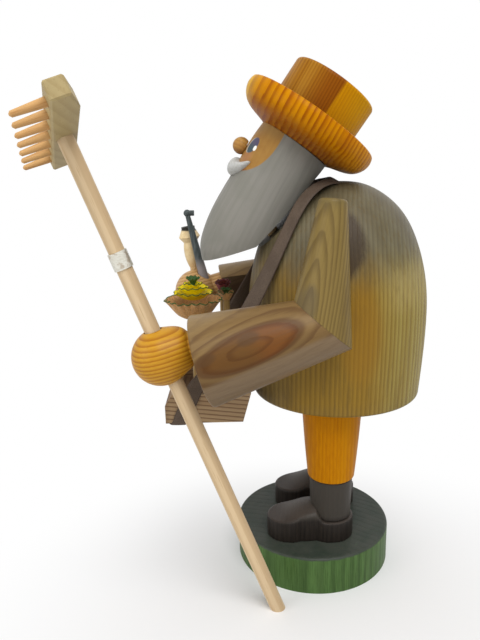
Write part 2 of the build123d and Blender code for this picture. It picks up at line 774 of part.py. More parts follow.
# Rake handle, its foot sawn level with the table
with BuildPart() as rake_handle:
    with BuildSketch(handle.offset(-handle_r)):
        Circle(handle_r)
    extrude(amount=handle_length + handle_r)
    split(bisect_by=Plane.XY, keep=Keep.TOP)
rake_handle.part.label = "rake_handle"
export_step(rake_handle.part, "parts/rake_handle.step")

# Rake bar: x along the bar, y towards the teeth, its back corners cut away
bar_turned = handle.x_dir.rotate(Axis((0, 0, 0), handle_up), rake_turn)
bar_ahead = handle_up.cross(bar_turned)
bar_along = bar_turned.rotate(Axis((0, 0, 0), bar_ahead), rake_skew)
bar = Plane(
    origin=handle.offset(handle_length - bar_below_top).origin,
    x_dir=bar_along,
    z_dir=bar_along.cross(bar_ahead),
)
half_bar = bar_length / 2
tooth_pitch = (bar_length - tooth_margin * 2) / (tooth_count - 1)
with BuildPart() as rake_bar:
    with BuildSketch(bar.offset(-bar_h / 2)):
        with BuildLine():
            Polyline(
                (-half_bar, bar_front),
                (half_bar, bar_front),
                (half_bar, bar_chamfer_depth - bar_back),
                (half_bar - bar_chamfer_length, -bar_back),
                (bar_chamfer_length - half_bar, -bar_back),
                (-half_bar, bar_chamfer_depth - bar_back),
                close=True,
            )
        make_face()
    extrude(amount=bar_h)
    chamfer(rake_bar.edges(), bar_edge)
    with BuildSketch(handle.offset(handle_length)):
        Circle(handle_r + glue_gap)
    extrude(amount=bar_h * 2, both=True, mode=Mode.SUBTRACT)
    with BuildSketch(Plane(origin=bar.from_local_coords(Vector(0, bar_front, 0)), x_dir=bar.x_dir, z_dir=bar.y_dir)):
        with GridLocations(tooth_pitch, tooth_pitch, tooth_count, 1):
            Circle(tooth_r + glue_gap)
    extrude(amount=-tooth_peg - dowel_gap, mode=Mode.SUBTRACT)
rake_bar.part.label = "rake_bar"
export_step(rake_bar.part, "parts/rake_bar.step")

# Rake teeth: tapered pegs with bevelled tips
for number in range(tooth_count):
    place = (number - (tooth_count - 1) / 2) * tooth_pitch
    root = Plane(origin=bar.from_local_coords(Vector(place, bar_front, 0)), x_dir=bar.x_dir, z_dir=bar.y_dir)
    length = tooth_peg if abs(place) > handle_r + tooth_r else min(tooth_peg, bar_front - handle_r - handle_gap)
    with BuildPart(root) as rake_tooth:
        Cone(tooth_r, tooth_tip_r, tooth_length, align=(Align.CENTER, Align.CENTER, Align.MIN))
        chamfer(rake_tooth.edges().filter_by(GeomType.CIRCLE).sort_by(Axis(root.origin, root.z_dir))[-1], tooth_edge)
        Cylinder(tooth_r, length, align=(Align.CENTER, Align.CENTER, Align.MAX))
    rake_tooth.part.label = f"rake_tooth_{number + 1}"
    export_step(rake_tooth.part, f"parts/rake_tooth_{number + 1}.step")

# Metal band: an open clip round the handle
with BuildPart() as rake_band:
    with BuildSketch(handle.offset(band_along)):
        Circle(handle_r + glue_gap + band_t)
        Circle(handle_r + glue_gap, mode=Mode.SUBTRACT)
        Rectangle(handle_r * 2, band_slot, align=(Align.MIN, Align.CENTER), mode=Mode.SUBTRACT)
    extrude(amount=band_h)
rake_band.part.label = "rake_band"
export_step(rake_band.part, "parts/rake_band.step")

# Tray boards: a floor, two shaped sides, a low front and a back that leans towards the coat
inner_w = tray_w - board * 2
side_outline = [
    (0, 0),
    (tray_rear_foot, 0),
    (tray_rear_head, tray_h),
    (tray_front_cut, tray_h),
    (0, tray_front_h),
]
for name, edge in (("tray_left_side", tray_w / 2 - board), ("tray_right_side", -tray_w / 2)):
    with BuildPart() as tray_wall:
        with BuildSketch(tray_side.offset(edge)):
            with BuildLine():
                Polyline(*side_outline, close=True)
            make_face()
        extrude(amount=board)
    tray_wall.part.label = name
    export_step(tray_wall.part, f"parts/{name}.step")

# Flowers by name: place of the lowest rim, and tiers of base radius, rim radius, foot, rim height and petals
tray_floor_z = tray_z + board
flowers = {
    "big_rosette": (
        (big_x, big_y, big_z),
        [
            (big_r * petal_base_share, big_r, -big_cup_h, 0, big_petals),
            (mid_r * petal_base_share, mid_r, mid_rise - tier_h, mid_rise, mid_petals),
            (top_r * petal_base_share, top_r, top_rise - tier_h, top_rise, top_petals),
        ],
    ),
    "small_rosette": (
        (small_x, small_y, small_z),
        [(small_r * petal_base_share, small_r, -small_cup_h, 0, small_petals)],
    ),
    "red_flower": (
        (red_x, red_y, red_z),
        [(red_r * petal_base_share, red_r, -red_cup_h, 0, red_petals)],
    ),
}

rear_shift = tray_rear_slant * board / tray_h
with BuildPart() as tray_floor:
    with BuildSketch(tray_side):
        with BuildLine():
            Polyline((0, 0), (tray_rear_foot, 0), (tray_rear_foot + rear_shift, board), (0, board), close=True)
        make_face()
    extrude(amount=inner_w / 2, both=True)
    with BuildSketch(Plane.XY.offset(tray_floor_z)):
        with Locations(*[place[:2] for place, tiers in flowers.values()]):
            Circle(stem_r + glue_gap)
    extrude(amount=-stem_depth - glue_gap, mode=Mode.SUBTRACT)
tray_floor.part.label = "tray_floor"
export_step(tray_floor.part, "parts/tray_floor.step")

with BuildPart() as tray_front:
    with BuildSketch(tray_side):
        with Locations((0, board)):
            Rectangle(board, tray_front_h - board, align=(Align.MIN, Align.MIN))
    extrude(amount=inner_w / 2, both=True)
tray_front.part.label = "tray_front"
export_step(tray_front.part, "parts/tray_front.step")

with BuildPart() as tray_back:
    with BuildSketch(tray_side):
        with BuildLine():
            Polyline(
                (tray_rear_foot + rear_shift, board),
                (tray_rear_head, tray_h),
                (tray_rear_head - board, tray_h),
                (tray_rear_foot + rear_shift - board, board),
                close=True,
            )
        make_face()
    extrude(amount=inner_w / 2, both=True)
    with BuildSketch(tray_peg.offset(overrun)):
        Circle(tray_dowel_r + dowel_gap)
    extrude(amount=-board * 2, mode=Mode.SUBTRACT)
tray_back.part.label = "tray_back"
export_step(tray_back.part, "parts/tray_back.step")

# Dowel from the tray's back into the coat's front
with BuildPart() as tray_dowel:
    with BuildSketch(tray_peg.offset(tray_gap + tray_dowel_in_coat)):
        Circle(tray_dowel_r)
    extrude(amount=-tray_gap - tray_dowel_in_coat - board - tray_rear_slant / 2)
tray_dowel.part.label = "tray_dowel"
export_step(tray_dowel.part, "parts/tray_dowel.step")

# Strap: a leather band over the shoulders, down to the tray's sides and under its floor
strap_half = [(strap_leave_x, strap_leave_y), (strap_bend_x, strap_bend_y), (strap_neck_x, strap_neck_y)]
strap_plan = strap_half + [(-x, y) for x, y in reversed(strap_half)]
strap_over = strap_t + glue_gap
strap_middle = glue_gap + strap_t / 2
strap_under_z = tray_z - strap_over
strap_edge_z = tray_z + tray_h + strap_w / 2
strap_leave_z = coat_z + strap_leave_up
with BuildPart() as strap:
    with BuildSketch(coat_profile):
        with BuildLine():
            inner_curve = Spline(*coat_points(glue_gap), tangents=[(coat_flare_share, 1), (-1, 0)])
            outer_curve = Spline(*coat_points(strap_over), tangents=[(coat_flare_share, 1), (-1, 0)])
            Line(inner_curve @ 0, outer_curve @ 0)
            Line(inner_curve @ 1, outer_curve @ 1)
        make_face()
    revolve(axis=coat_axis)
    with BuildSketch(Plane.XY.offset(strap_leave_z)):
        with BuildLine():
            FilletPolyline(*strap_plan, radius=strap_bend_r)
        trace(line_width=strap_w)
    extrude(amount=coat_h, mode=Mode.INTERSECT)
    for sign in (1, -1):
        # The free run twists from the coat's slope to the tray's upright side, then lies against that side.
        radial = Vector(sign * strap_leave_x, strap_leave_y - coat_y, 0).normalized()
        leave_out = (radial + Vector(0, 0, strap_leave_rise)).normalized()
        top = Vector(sign * strap_leave_x, strap_leave_y, strap_leave_z) + leave_out * strap_middle
        foot = Vector(sign * (tray_w / 2 + strap_middle), strap_foot_y, strap_under_z)
        down = Vector(0, foot.Y - top.Y, foot.Z - top.Z).normalized()
        edge = foot + down * ((strap_edge_z - foot.Z) / down.Z)
        run = (edge - top).normalized()
        upper_end = Plane(origin=top - run * strap_lap, x_dir=leave_out - run * leave_out.dot(run), z_dir=run)
        lower_end = Plane(origin=edge, x_dir=(sign, 0, 0), z_dir=down)
        with BuildSketch(upper_end, lower_end):
            Rectangle(strap_t, strap_w)
        loft()
        with BuildSketch(lower_end):
            Rectangle(strap_t, strap_w)
        extrude(amount=tray_h * 2)
    split(bisect_by=Plane.XY.offset(strap_under_z), keep=Keep.TOP)
    with BuildSketch(Plane.XY.offset(strap_under_z)):
        for sign in (1, -1):
            with Locations((sign * (tray_w / 2 + strap_over - strap_tab / 2), strap_foot_y)):
                Rectangle(strap_tab, strap_w)
    extrude(amount=strap_t)
strap.part.label = "strap"
export_step(strap.part, "parts/strap.step")

# Flowers: each is one stick of wood shaved into tiers of curled petals, on a thin stem
for name, ((x, y, z), tiers) in flowers.items():
    foot_z = z + tiers[0][2]
    flower_axis = Axis((x, y, foot_z), (0, 0, 1))
    with BuildPart() as flower:
        for base_r, rim_r, low, high, petals in tiers:
            lip = (high - low) * petal_lip_share
            cup_r = base_r + (rim_r - base_r) * petal_cup_share
            with BuildSketch(Plane(origin=(x, y, z), x_dir=(1, 0, 0), z_dir=(0, -1, 0))):
                with BuildLine():
                    Polyline(
                        (0, low),
                        (base_r, low),
                        (cup_r, high - lip),
                        (rim_r, high),
                        (rim_r, high + petal_t / 2),
                        (cup_r - petal_t, high - lip + petal_t / 2),
                        (base_r - petal_t, low + petal_t),
                        (0, low + petal_t),
                        close=True,
                    )
                make_face()
            revolve(axis=flower_axis)
            with BuildSketch(Plane.XY.offset(z + (low + high) / 2)):
                with Locations((x, y)):
                    with PolarLocations(rim_r, petals):
                        RegularPolygon(rim_r * petal_notch_share / petals, notch_sides, rotation=notch_turn)
            extrude(amount=high - low, mode=Mode.SUBTRACT)
        with BuildSketch(Plane.XY.offset(foot_z)):
            with Locations((x, y)):
                Circle(stem_r)
        extrude(amount=tiers[-1][3] - tiers[0][2])
    flower.part.label = name
    export_step(flower.part, f"parts/{name}.step")

    with BuildPart() as stem:
        with BuildSketch(Plane.XY.offset(tray_floor_z - stem_depth)):
            with Locations((x, y)):
                Circle(stem_r)
        extrude(amount=foot_z - tray_floor_z + stem_depth)
    stem.part.label = f"{name}_stem"
    export_step(stem.part, f"parts/{name}_stem.step")

# Pipe bowl: turned, with a swelling body, a sharp flare and a bore
bowl_side = Plane(origin=bowl_base.origin, x_dir=(1, 0, 0), z_dir=Vector(1, 0, 0).cross(bowl_base.z_dir))
bowl_neck, bowl_belly, bowl_waist, bowl_flare, bowl_rim = [bowl_h * share for share in bowl_shares]
with BuildPart() as pipe_bowl:
    with BuildSketch(bowl_side):
        with BuildLine():
            Line((0, 0), (bowl_foot_r, 0))
            Line((bowl_foot_r, 0), (bowl_foot_r, bowl_neck))
            Spline((bowl_foot_r, bowl_neck), (bowl_body_r, bowl_belly), (bowl_waist_r, bowl_waist))
            Line((bowl_waist_r, bowl_waist), (bowl_flare_r, bowl_flare))
            Line((bowl_flare_r, bowl_flare), (bowl_rim_r, bowl_rim))
            Line((bowl_rim_r, bowl_rim), (bowl_rim_r, bowl_h))
            Line((bowl_rim_r, bowl_h), (bowl_bore_r, bowl_h))
            Line((bowl_bore_r, bowl_h), (bowl_bore_r, bowl_h - bowl_bore_depth))
            Line((bowl_bore_r, bowl_h - bowl_bore_depth), (0, bowl_h - bowl_bore_depth))
            Line((0, bowl_h - bowl_bore_depth), (0, 0))
        make_face()
    revolve(axis=Axis(bowl_base.origin, bowl_base.z_dir))
pipe_bowl.part.label = "pipe_bowl"
export_step(pipe_bowl.part, "parts/pipe_bowl.step")

# Pipe stem: a long taper with a bent mouthpiece
with BuildPart(stem_base) as pipe_stem:
    Cone(pipe_bottom_r, pipe_top_r, pipe_length, align=(Align.CENTER, Align.CENTER, Align.MIN))
    with Locations((0, 0, pipe_length)):
        Sphere(pipe_hook_r)
    with BuildSketch(Plane(origin=stem_base.from_local_coords(Vector(0, 0, pipe_length)), z_dir=(0, 1, 0))):
        Circle(pipe_tip_r)
    extrude(amount=pipe_hook_r + pipe_hook_tip)
pipe_stem.part.label = "pipe_stem"
export_step(pipe_stem.part, "parts/pipe_stem.step")
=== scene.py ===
import math

import bpy
import numpy as np
from mathutils import Matrix, Vector


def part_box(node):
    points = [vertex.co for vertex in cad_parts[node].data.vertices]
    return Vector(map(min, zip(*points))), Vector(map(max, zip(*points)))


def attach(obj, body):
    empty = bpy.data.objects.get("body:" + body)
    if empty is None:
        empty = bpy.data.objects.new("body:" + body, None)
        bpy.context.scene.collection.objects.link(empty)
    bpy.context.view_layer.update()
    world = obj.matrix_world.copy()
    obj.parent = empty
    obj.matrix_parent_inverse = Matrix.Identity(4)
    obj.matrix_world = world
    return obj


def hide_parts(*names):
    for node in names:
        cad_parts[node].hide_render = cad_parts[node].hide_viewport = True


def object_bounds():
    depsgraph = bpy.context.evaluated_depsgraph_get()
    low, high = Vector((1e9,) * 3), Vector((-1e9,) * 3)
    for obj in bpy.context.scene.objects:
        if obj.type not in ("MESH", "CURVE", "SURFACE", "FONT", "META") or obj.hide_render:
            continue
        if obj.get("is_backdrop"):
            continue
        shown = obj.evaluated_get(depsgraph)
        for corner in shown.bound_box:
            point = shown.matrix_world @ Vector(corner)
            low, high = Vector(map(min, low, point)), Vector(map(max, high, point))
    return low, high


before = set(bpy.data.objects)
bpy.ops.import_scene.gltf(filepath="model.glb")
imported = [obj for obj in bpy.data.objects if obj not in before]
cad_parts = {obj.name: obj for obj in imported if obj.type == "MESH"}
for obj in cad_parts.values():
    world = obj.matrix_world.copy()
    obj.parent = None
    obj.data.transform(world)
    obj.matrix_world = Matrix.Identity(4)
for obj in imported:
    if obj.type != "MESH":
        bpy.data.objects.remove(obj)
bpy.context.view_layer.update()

# The looks of a turned wooden incense smoker. Lengths in the tables are millimetres in the row frame:
# +Z up, the figure faces -Y and its left side is +X.
MM = 0.001
SPECULAR = 0.16
BUMP_STRENGTH = 0.5


def colour(red, green, blue):
    # A colour written as it should be seen, as linear light
    def part(c):
        c = c / 255
        return c / 12.92 if c <= 0.04045 else ((c + 0.055) / 1.055) ** 2.4
    return (part(red), part(green), part(blue), 1.0)


class Value:
    """A number socket of one material that can be used in plain sums."""

    def __init__(self, paint, socket):
        self.paint, self.socket = paint, socket

    def __add__(self, other):
        return self.paint.math("ADD", self, other)

    def __radd__(self, other):
        return self.paint.math("ADD", other, self)

    def __sub__(self, other):
        return self.paint.math("SUBTRACT", self, other)

    def __rsub__(self, other):
        return self.paint.math("SUBTRACT", other, self)

    def __mul__(self, other):
        return self.paint.math("MULTIPLY", self, other)

    def __truediv__(self, other):
        return self.paint.math("DIVIDE", self, other)

    def __pow__(self, other):
        return self.paint.math("POWER", self, other)

    def __abs__(self):
        return self.paint.math("ABSOLUTE", self)


class Paint:
    """One procedural material. p is the place on the part in millimetres, x, y and z its parts."""

    def __init__(self, name):
        self.material = bpy.data.materials.new(name)
        self.material.use_nodes = True
        self.tree = self.material.node_tree
        self.tree.nodes.clear()
        output = self.node("ShaderNodeOutputMaterial")
        self.shader = self.node("ShaderNodeBsdfPrincipled")
        self.tree.links.new(self.shader.outputs[0], output.inputs["Surface"])
        place = self.node("ShaderNodeTexCoord").outputs["Object"]
        self.p = self.vector("SCALE", place, scale=1000.0)
        parts = self.node("ShaderNodeSeparateXYZ")
        self.tree.links.new(self.p, parts.inputs[0])
        self.x, self.y, self.z = [Value(self, parts.outputs[i]) for i in range(3)]

    def node(self, kind, **settings):
        made = self.tree.nodes.new(kind)
        for key, value in settings.items():
            setattr(made, key, value)
        return made

    def put(self, socket, value):
        if isinstance(value, Value):
            value = value.socket
        if isinstance(value, bpy.types.NodeSocket):
            self.tree.links.new(value, socket)
        else:
            socket.default_value = value

    def math(self, operation, *values):
        made = self.node("ShaderNodeMath", operation=operation)
        for socket, value in zip(made.inputs, values):
            self.put(socket, value)
        return Value(self, made.outputs[0])

    def vector(self, operation, *values, scale=None):
        made = self.node("ShaderNodeVectorMath", operation=operation)
        for socket, value in zip(made.inputs, values):
            self.put(socket, tuple(value) if isinstance(value, (Vector, tuple, list)) else value)
        if scale is not None:
            self.put(made.inputs["Scale"], scale)
        return made.outputs[0]

    def dot(self, a, b):
        made = self.node("ShaderNodeVectorMath", operation="DOT_PRODUCT")
        self.put(made.inputs[0], a)
        self.put(made.inputs[1], tuple(b))
        return Value(self, made.outputs["Value"])

    def length(self, a):
        made = self.node("ShaderNodeVectorMath", operation="LENGTH")
        self.put(made.inputs[0], a)
        return Value(self, made.outputs["Value"])

    def fade(self, value, low, high):
        # 0 below low, 1 above high, smooth between
        made = self.node("ShaderNodeMapRange", interpolation_type="SMOOTHSTEP")
        self.put(made.inputs["Value"], value)
        flip = low > high
        made.inputs["From Min"].default_value = min(low, high)
        made.inputs["From Max"].default_value = max(low, high)
        made.inputs["To Min"].default_value = 1.0 if flip else 0.0
        made.inputs["To Max"].default_value = 0.0 if flip else 1.0
        return Value(self, made.outputs[0])

    def noise(self, place, size, detail=2.0, rough=0.5):
        made = self.node("ShaderNodeTexNoise")
        self.put(made.inputs["Vector"], place)
        made.inputs["Scale"].default_value = 1.0 / size
        made.inputs["Detail"].default_value = detail
        made.inputs["Roughness"].default_value = rough
        return Value(self, made.outputs[0])

    def mix(self, amount, a, b):
        made = self.node("ShaderNodeMix", data_type="RGBA")
        self.put(made.inputs[0], amount)
        self.put(made.inputs[6], a)
        self.put(made.inputs[7], b)
        return made.outputs[2]

    def facing(self, direction):
        return self.dot(self.node("ShaderNodeNewGeometry").outputs["True Normal"], direction)

    def attribute(self, name):
        return Value(self, self.node("ShaderNodeAttribute", attribute_name=name).outputs["Fac"])

    def done(self, base, rough, height, depth, **sockets):
        # Finish the shader, with a bump of that depth in millimetres
        self.put(self.shader.inputs["Base Color"], base)
        self.put(self.shader.inputs["Roughness"], rough)
        self.shader.inputs["Specular IOR Level"].default_value = SPECULAR
        for key, value in sockets.items():
            self.shader.inputs[key.replace("_", " ")].default_value = value
        bump = self.node("ShaderNodeBump")
        bump.inputs["Strength"].default_value = BUMP_STRENGTH
        bump.inputs["Distance"].default_value = depth * MM
        self.put(bump.inputs["Height"], height)
        self.tree.links.new(bump.outputs[0], self.shader.inputs["Normal"])
        return self.material


class Grain:
    """Softwood grain in a Paint: year rings round a line through pith along the grain."""

    def __init__(self, paint, grain, pith, ring, wobble=2.0, slope=0.0, sharp=0.25):
        grain = Vector(grain).normalized()
        q = paint.vector("SUBTRACT", paint.p, pith)
        self.along = paint.dot(q, grain)
        shaft = paint.vector("SCALE", tuple(grain), scale=self.along)
        self.across = paint.vector("SUBTRACT", q, shaft)
        slow = paint.vector("SCALE", tuple(grain), scale=self.along * 0.04)
        self.place = paint.vector("ADD", self.across, slow)
        self.wander = paint.noise(self.place, 16, 2) - 0.5
        self.radius = paint.length(self.across) + self.wander * wobble + self.along * slope
        self.lines = self.banded(paint, self.radius / ring, sharp)
        self.fibre = paint.noise(self.place, 0.55, 4, 0.7)
        self.cloud = paint.noise(self.place, 7, 3)

    @staticmethod
    def banded(paint, turns, sharp):
        # Pale early wood that darkens slowly to a sharp late line, once for every whole number of turns
        phase = paint.math("FRACT", turns)
        return paint.fade(phase, sharp, 0.86) * paint.fade(phase, 1.0, 0.9)


def dress(material, *names):
    for name in names:
        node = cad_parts[name]
        if not node.material_slots:
            node.data.materials.append(material)
        for slot in node.material_slots:
            slot.material = material


def wood(name, light, dark, grain, pith, ring, line=0.6, rough=0.42, wobble=2.0):
    # Plain stained wood
    m = Paint(name)
    g = Grain(m, grain, pith, ring, wobble)
    base = m.mix(g.lines * line, colour(*light), colour(*dark))
    base = m.mix(m.fade(g.fibre, 0.42, 0.75) * 0.3, base, colour(*dark))
    base = m.mix(m.fade(g.cloud, 0.4, 0.8) * 0.18, base, colour(*[c * 0.7 for c in light]))
    return m.done(base, g.fibre * 0.16 + (rough - 0.08), g.lines * -0.6 + g.fibre * 0.5, 0.12)


def put_in_scene(name, data):
    # A new object of the scene that holds the data
    made = bpy.data.objects.new(name, data)
    bpy.context.scene.collection.objects.link(made)
    return made


def piece(name, verts, faces, material, body, tints=None):
    # A new mesh given in millimetres in the row frame
    mesh = bpy.data.meshes.new(name)
    mesh.from_pydata([tuple(Vector(v) * MM) for v in verts], [], faces)
    mesh.validate()
    for polygon in mesh.polygons:
        polygon.use_smooth = True
    if tints is not None:
        tint = mesh.attributes.new("tint", "FLOAT", "POINT")
        tint.data.foreach_set("value", np.array(tints, np.float32))
    mesh.materials.append(material)
    made = put_in_scene(name, mesh)
    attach(made, body)
    return made


# Places that the paint follows, repeated from the part's source
COAT_Y = 9.6
HEAD = Vector((0.0, -6.87, 179.53))
HEAD_DOWN = Vector((0.0, -0.5, -0.866))
HEAD_FRONT = Vector((0.0, -0.866, 0.5))
HAT_TILT = math.radians(35.4)
HAT_UP = Vector((0.0, math.sin(HAT_TILT), math.cos(HAT_TILT)))
HAT_FRONT = Vector((0.0, -HAT_UP.z, HAT_UP.y))
HAT_ABOVE, HAT_AHEAD = 1.55, 1.7
HAT = HEAD - HEAD_DOWN * HAT_ABOVE + HEAD_FRONT * HAT_AHEAD
HEAD_R = 19.2
HEAD_SLIM = 0.88
HEAD_SHIFT = HEAD_R * (1 - HEAD_SLIM)

# Base: dark green top, clear green side with upright fibres
m = Paint("base_green")
g = Grain(m, (0, 0, 1), (120, -60, 0), 3.4, 3)
top = m.fade(m.z + (m.noise(m.p, 3, 3) - 0.5) * 0.8, 15.2, 16.0)
side = m.mix(m.fade(g.fibre, 0.35, 0.75), colour(78, 108, 56), colour(52, 76, 33))
side = m.mix(g.lines * 0.5, side, colour(42, 63, 26))
side = m.mix(m.fade(g.cloud, 0.5, 0.8) * 0.4, side, colour(85, 111, 62))
cover = m.noise(m.p, 9, 4, 0.6)
flat = m.mix(m.fade(cover, 0.35, 0.7), colour(62, 66, 59), colour(50, 58, 50))
flat = m.mix(m.fade(m.noise(m.p, 1.4, 3), 0.62, 0.75) * 0.4, flat, colour(72, 86, 68))
base = m.mix(top, side, flat)
dress(m.done(base, 0.5 - g.fibre * 0.12, g.fibre * 0.6 + g.lines * -0.5, 0.15), "base_disc")

dress(wood("seat_wood", (188, 152, 104), (140, 102, 60), (0, 1, 0), (0, 0, 30), 2.6), "seat_disc")
dress(wood("dowel_wood", (214, 184, 136), (176, 140, 94), (0, 0, 1), (40, 10, 0), 2.0, line=0.3),
      *[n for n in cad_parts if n.endswith("_dowel")])

# Boots: thin dark stain over fine upright grain
m = Paint("boot_stain")
base_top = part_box("base_disc")[1].z / MM
g = Grain(m, (0, 0, 1), (0, -90, 0), 1.9, 2)
base = m.mix(m.fade(g.fibre, 0.3, 0.75), colour(44, 38, 33), colour(28, 24, 21))
base = m.mix(g.lines * 0.35, base, colour(20, 17, 15))
# The cuffs lighter than the shoes below; faces turned upward lighter still, a painted highlight where light
# from above falls
base = m.mix(m.fade(m.z, base_top + 9, base_top + 12) * 0.6, base, colour(70, 65, 58))
base = m.mix(m.fade(m.facing((0, 0, 1)), 0.6, 0.9) * 0.6, base, colour(74, 66, 60))
boot = m.done(base, 0.46 - g.fibre * 0.1, g.fibre * 0.6 + g.lines * -0.4, 0.12)
dress(boot, "left_boot_cuff", "right_boot_cuff")

# Trousers: orange stain
m = Paint("trouser_stain")
g = Grain(m, (0, 0, 1), (30, 110, 0), 1.5, 1.5)
base = m.mix(m.fade(g.fibre, 0.35, 0.8), colour(187, 120, 0), colour(168, 101, 0))
base = m.mix(g.lines * 0.3, base, colour(143, 81, 0))
base = m.mix(m.fade(g.cloud, 0.45, 0.8) * 0.35, base, colour(195, 133, 2))
trouser = m.done(base, 0.4 - g.fibre * 0.08, g.lines * -0.5 + g.fibre * 0.4, 0.1, Specular_IOR_Level=0.05)
dress(trouser, "left_trouser_leg", "right_trouser_leg")


def coat_paint():
    # Coat: olive-gold stain, sprayed grey at the shoulders and hem, with a dark shade behind each arm and a
    # painted sheen along its back edge
    m = Paint("coat_stain")
    g = Grain(m, (0, 0, 1), (34, 150, 0), 1.75, 3.2, 0.004, 0.2)
    drift = (m.noise(m.p, 24, 3) - 0.5) * 16
    soft = (m.noise(g.place, 2.5, 3) - 0.5) * 9
    turn = m.math("ARCTAN2", m.y - COAT_Y, abs(m.x)) * (180 / math.pi)
    gold = m.mix(m.fade(turn + drift * 0.6, 4, 34), colour(144, 112, 37), colour(150, 135, 71))
    gold = m.mix(m.fade(g.cloud, 0.35, 0.7) * 0.4, gold, colour(126, 97, 28))
    gold = m.mix(g.lines * 0.55, gold, colour(102, 75, 17))
    grey = m.mix(m.fade(g.cloud, 0.35, 0.7), colour(104, 99, 80), colour(88, 82, 64))
    grey = m.mix(g.lines * 0.42, grey, colour(69, 63, 48))
    high = m.fade(m.z + drift * 0.5 + soft, 124, 146)
    hem = m.fade(m.z + drift * 0.3, 86, 80) * 0.12
    front = m.fade(m.y + drift * 0.5, -6, -26) * 0.7
    amount = m.math("MAXIMUM", m.math("MAXIMUM", high, hem), front)
    base = m.mix(amount * 0.92, gold, grey)
    crest = m.fade(m.z + drift * 0.5, 154, 166)
    base = m.mix(crest * 0.5, base, colour(88, 80, 60))
    nape = m.fade(m.z + drift * 0.4 + soft, 138, 150)
    rear = nape * m.fade(abs(m.x) + soft * 0.4, 30, 12) * m.fade(m.y, 14, 28)
    base = m.mix(rear * 0.5, base, colour(92, 86, 74))
    # Painted sheen: a pale grey-beige band along the coat's back edge, where light glances off it
    band = m.fade(abs(m.z - 128 + drift * 0.3), 12, 2) * m.fade(turn, 16, 34)
    base = m.mix(band * 0.3, base, colour(168, 152, 104))
    streak = m.noise(g.place, 1.3, 3, 0.6)
    base = m.mix(m.fade(streak, 0.5, 0.72) * 0.4, base, colour(92, 72, 34))
    shade = turn + soft * 0.2 - 10 + ((m.z - 146) / 13) ** 2 * 12
    shade = m.fade(m.z, 160, 154) * m.fade(shade + (g.fibre - 0.5) * 6, 4.4, -3.6) * m.fade(turn, -30, -22)
    base = m.mix(shade * 0.85, base, colour(55, 41, 27))
    glow = ((turn - 6) / 14) ** 2 + ((m.z - 112) / 22) ** 2
    base = m.mix(m.fade(glow, 1.2, 0.1) * 0.5, base, colour(142, 100, 20))
    inside = m.length(m.vector("MULTIPLY", m.vector("SUBTRACT", m.p, (0, COAT_Y, 0)), (1, 1, 0)))
    chamber = m.fade(inside, 30.8, 30.4) * m.fade(m.z, 143, 142)
    base = m.mix(chamber, base, m.mix(g.lines * 0.5, colour(150, 112, 66), colour(86, 58, 34)))
    base = m.mix(m.fade(g.fibre, 0.45, 0.8) * 0.26, base, colour(96, 78, 40))
    return m.done(base, 0.5 - g.fibre * 0.14, g.lines * -0.8 + g.fibre * 0.5, 0.14)


dress(coat_paint(), "coat")


def sleeve_paint(name, side, kind):
    # Sleeves: flat-sawn figure, arches on the upper arm and long ovals on the forearm; painted shade on the
    # inner flat
    m = Paint(name)
    grain = Vector((0.199 * side, -0.221, -0.954) if kind == "arch" else (0.147 * side, -0.925, -0.356))
    middle = (53.9 * side, -9.1, 125) if kind == "arch" else (59.3 * side, -28.5, 115.2)
    g = Grain(m, grain, middle, 2.2, 1.5)
    lateral = grain.cross(Vector((1, 0, 0))).normalized()
    across = m.dot(m.vector("SUBTRACT", m.p, middle), lateral)
    wavy = m.noise(g.place, 9, 2) - 0.5
    fine = (m.noise(g.place, 2.2, 2) - 0.5) * 0.5
    if kind == "arch":
        rise = 1.2 - g.along * 0.13
        turns = m.math("SQRT", (across + wavy * 2) ** 2 + rise ** 2) / 1.25 + fine
        lines = g.banded(m, turns, 0.3)
        base = m.mix(m.fade(g.cloud, 0.35, 0.7), colour(127, 107, 58), colour(114, 94, 48))
        base = m.mix(lines * 0.62, base, colour(88, 70, 35))
        heart = (across / 3.4) ** 2 + ((g.along + 3) / 8) ** 2
        base = m.mix(m.fade(heart, 1.2, 0.4) * 0.6, base, colour(91, 79, 55))
        base = m.mix(m.fade(m.z + wavy * 3, 158, 163) * 0.5, base, colour(93, 82, 51))
    else:
        oval = m.math("SQRT", (across + wavy * 1.6) ** 2 + (g.along * 0.31) ** 2)
        lines = g.banded(m, oval / 2.75 + fine, 0.5)
        base = m.mix(m.fade(g.cloud, 0.35, 0.7), colour(124, 98, 59), colour(108, 83, 49))
        base = m.mix(lines * 0.6, base, colour(83, 56, 31))
        core = m.fade(oval + fine, 5.7, 5.2)
        warm = m.mix(m.fade(g.along, 2, -8), colour(90, 53, 9), colour(105, 54, 4))
        base = m.mix(core * 0.75, base, m.mix(lines * 0.4, warm, colour(64, 32, 3)))
        rim = m.fade(abs(oval + fine - 5.7), 0.9, 0.1)
        base = m.mix(rim * 0.7, base, colour(78, 48, 24))
        for offset, lift in ((-1.0, 3.0), (15.0, 2.2)):
            knot = ((g.along - offset) / 4.2) ** 2 + ((across - lift) / 2.1) ** 2 + wavy
            base = m.mix(m.fade(knot, 1.3, 0.3) * 0.75, base, colour(82, 56, 30))
        low = m.fade(across + wavy, -5.4, -7.6)
        base = m.mix(low * 0.85, base, m.mix(lines * 0.12, colour(122, 103, 80), colour(96, 74, 54)))
        # Painted light: the forearm's top is lighter, where light from above falls
        base = m.mix(m.fade(across, 9.0, 13.5) * 0.5, base, colour(150, 128, 92))
    base = m.mix(m.fade(g.fibre, 0.42, 0.8) * 0.3, base, colour(84, 64, 40))
    # Painted shade: faces turned towards the body are darkened
    inner = m.fade(m.facing((side, 0, 0)), -0.7, -0.9)
    base = m.mix(inner * 0.75, base, colour(58, 46, 38))
    return m.done(base, 0.44 - g.fibre * 0.1, lines * -0.5 + g.fibre * 0.5, 0.1)


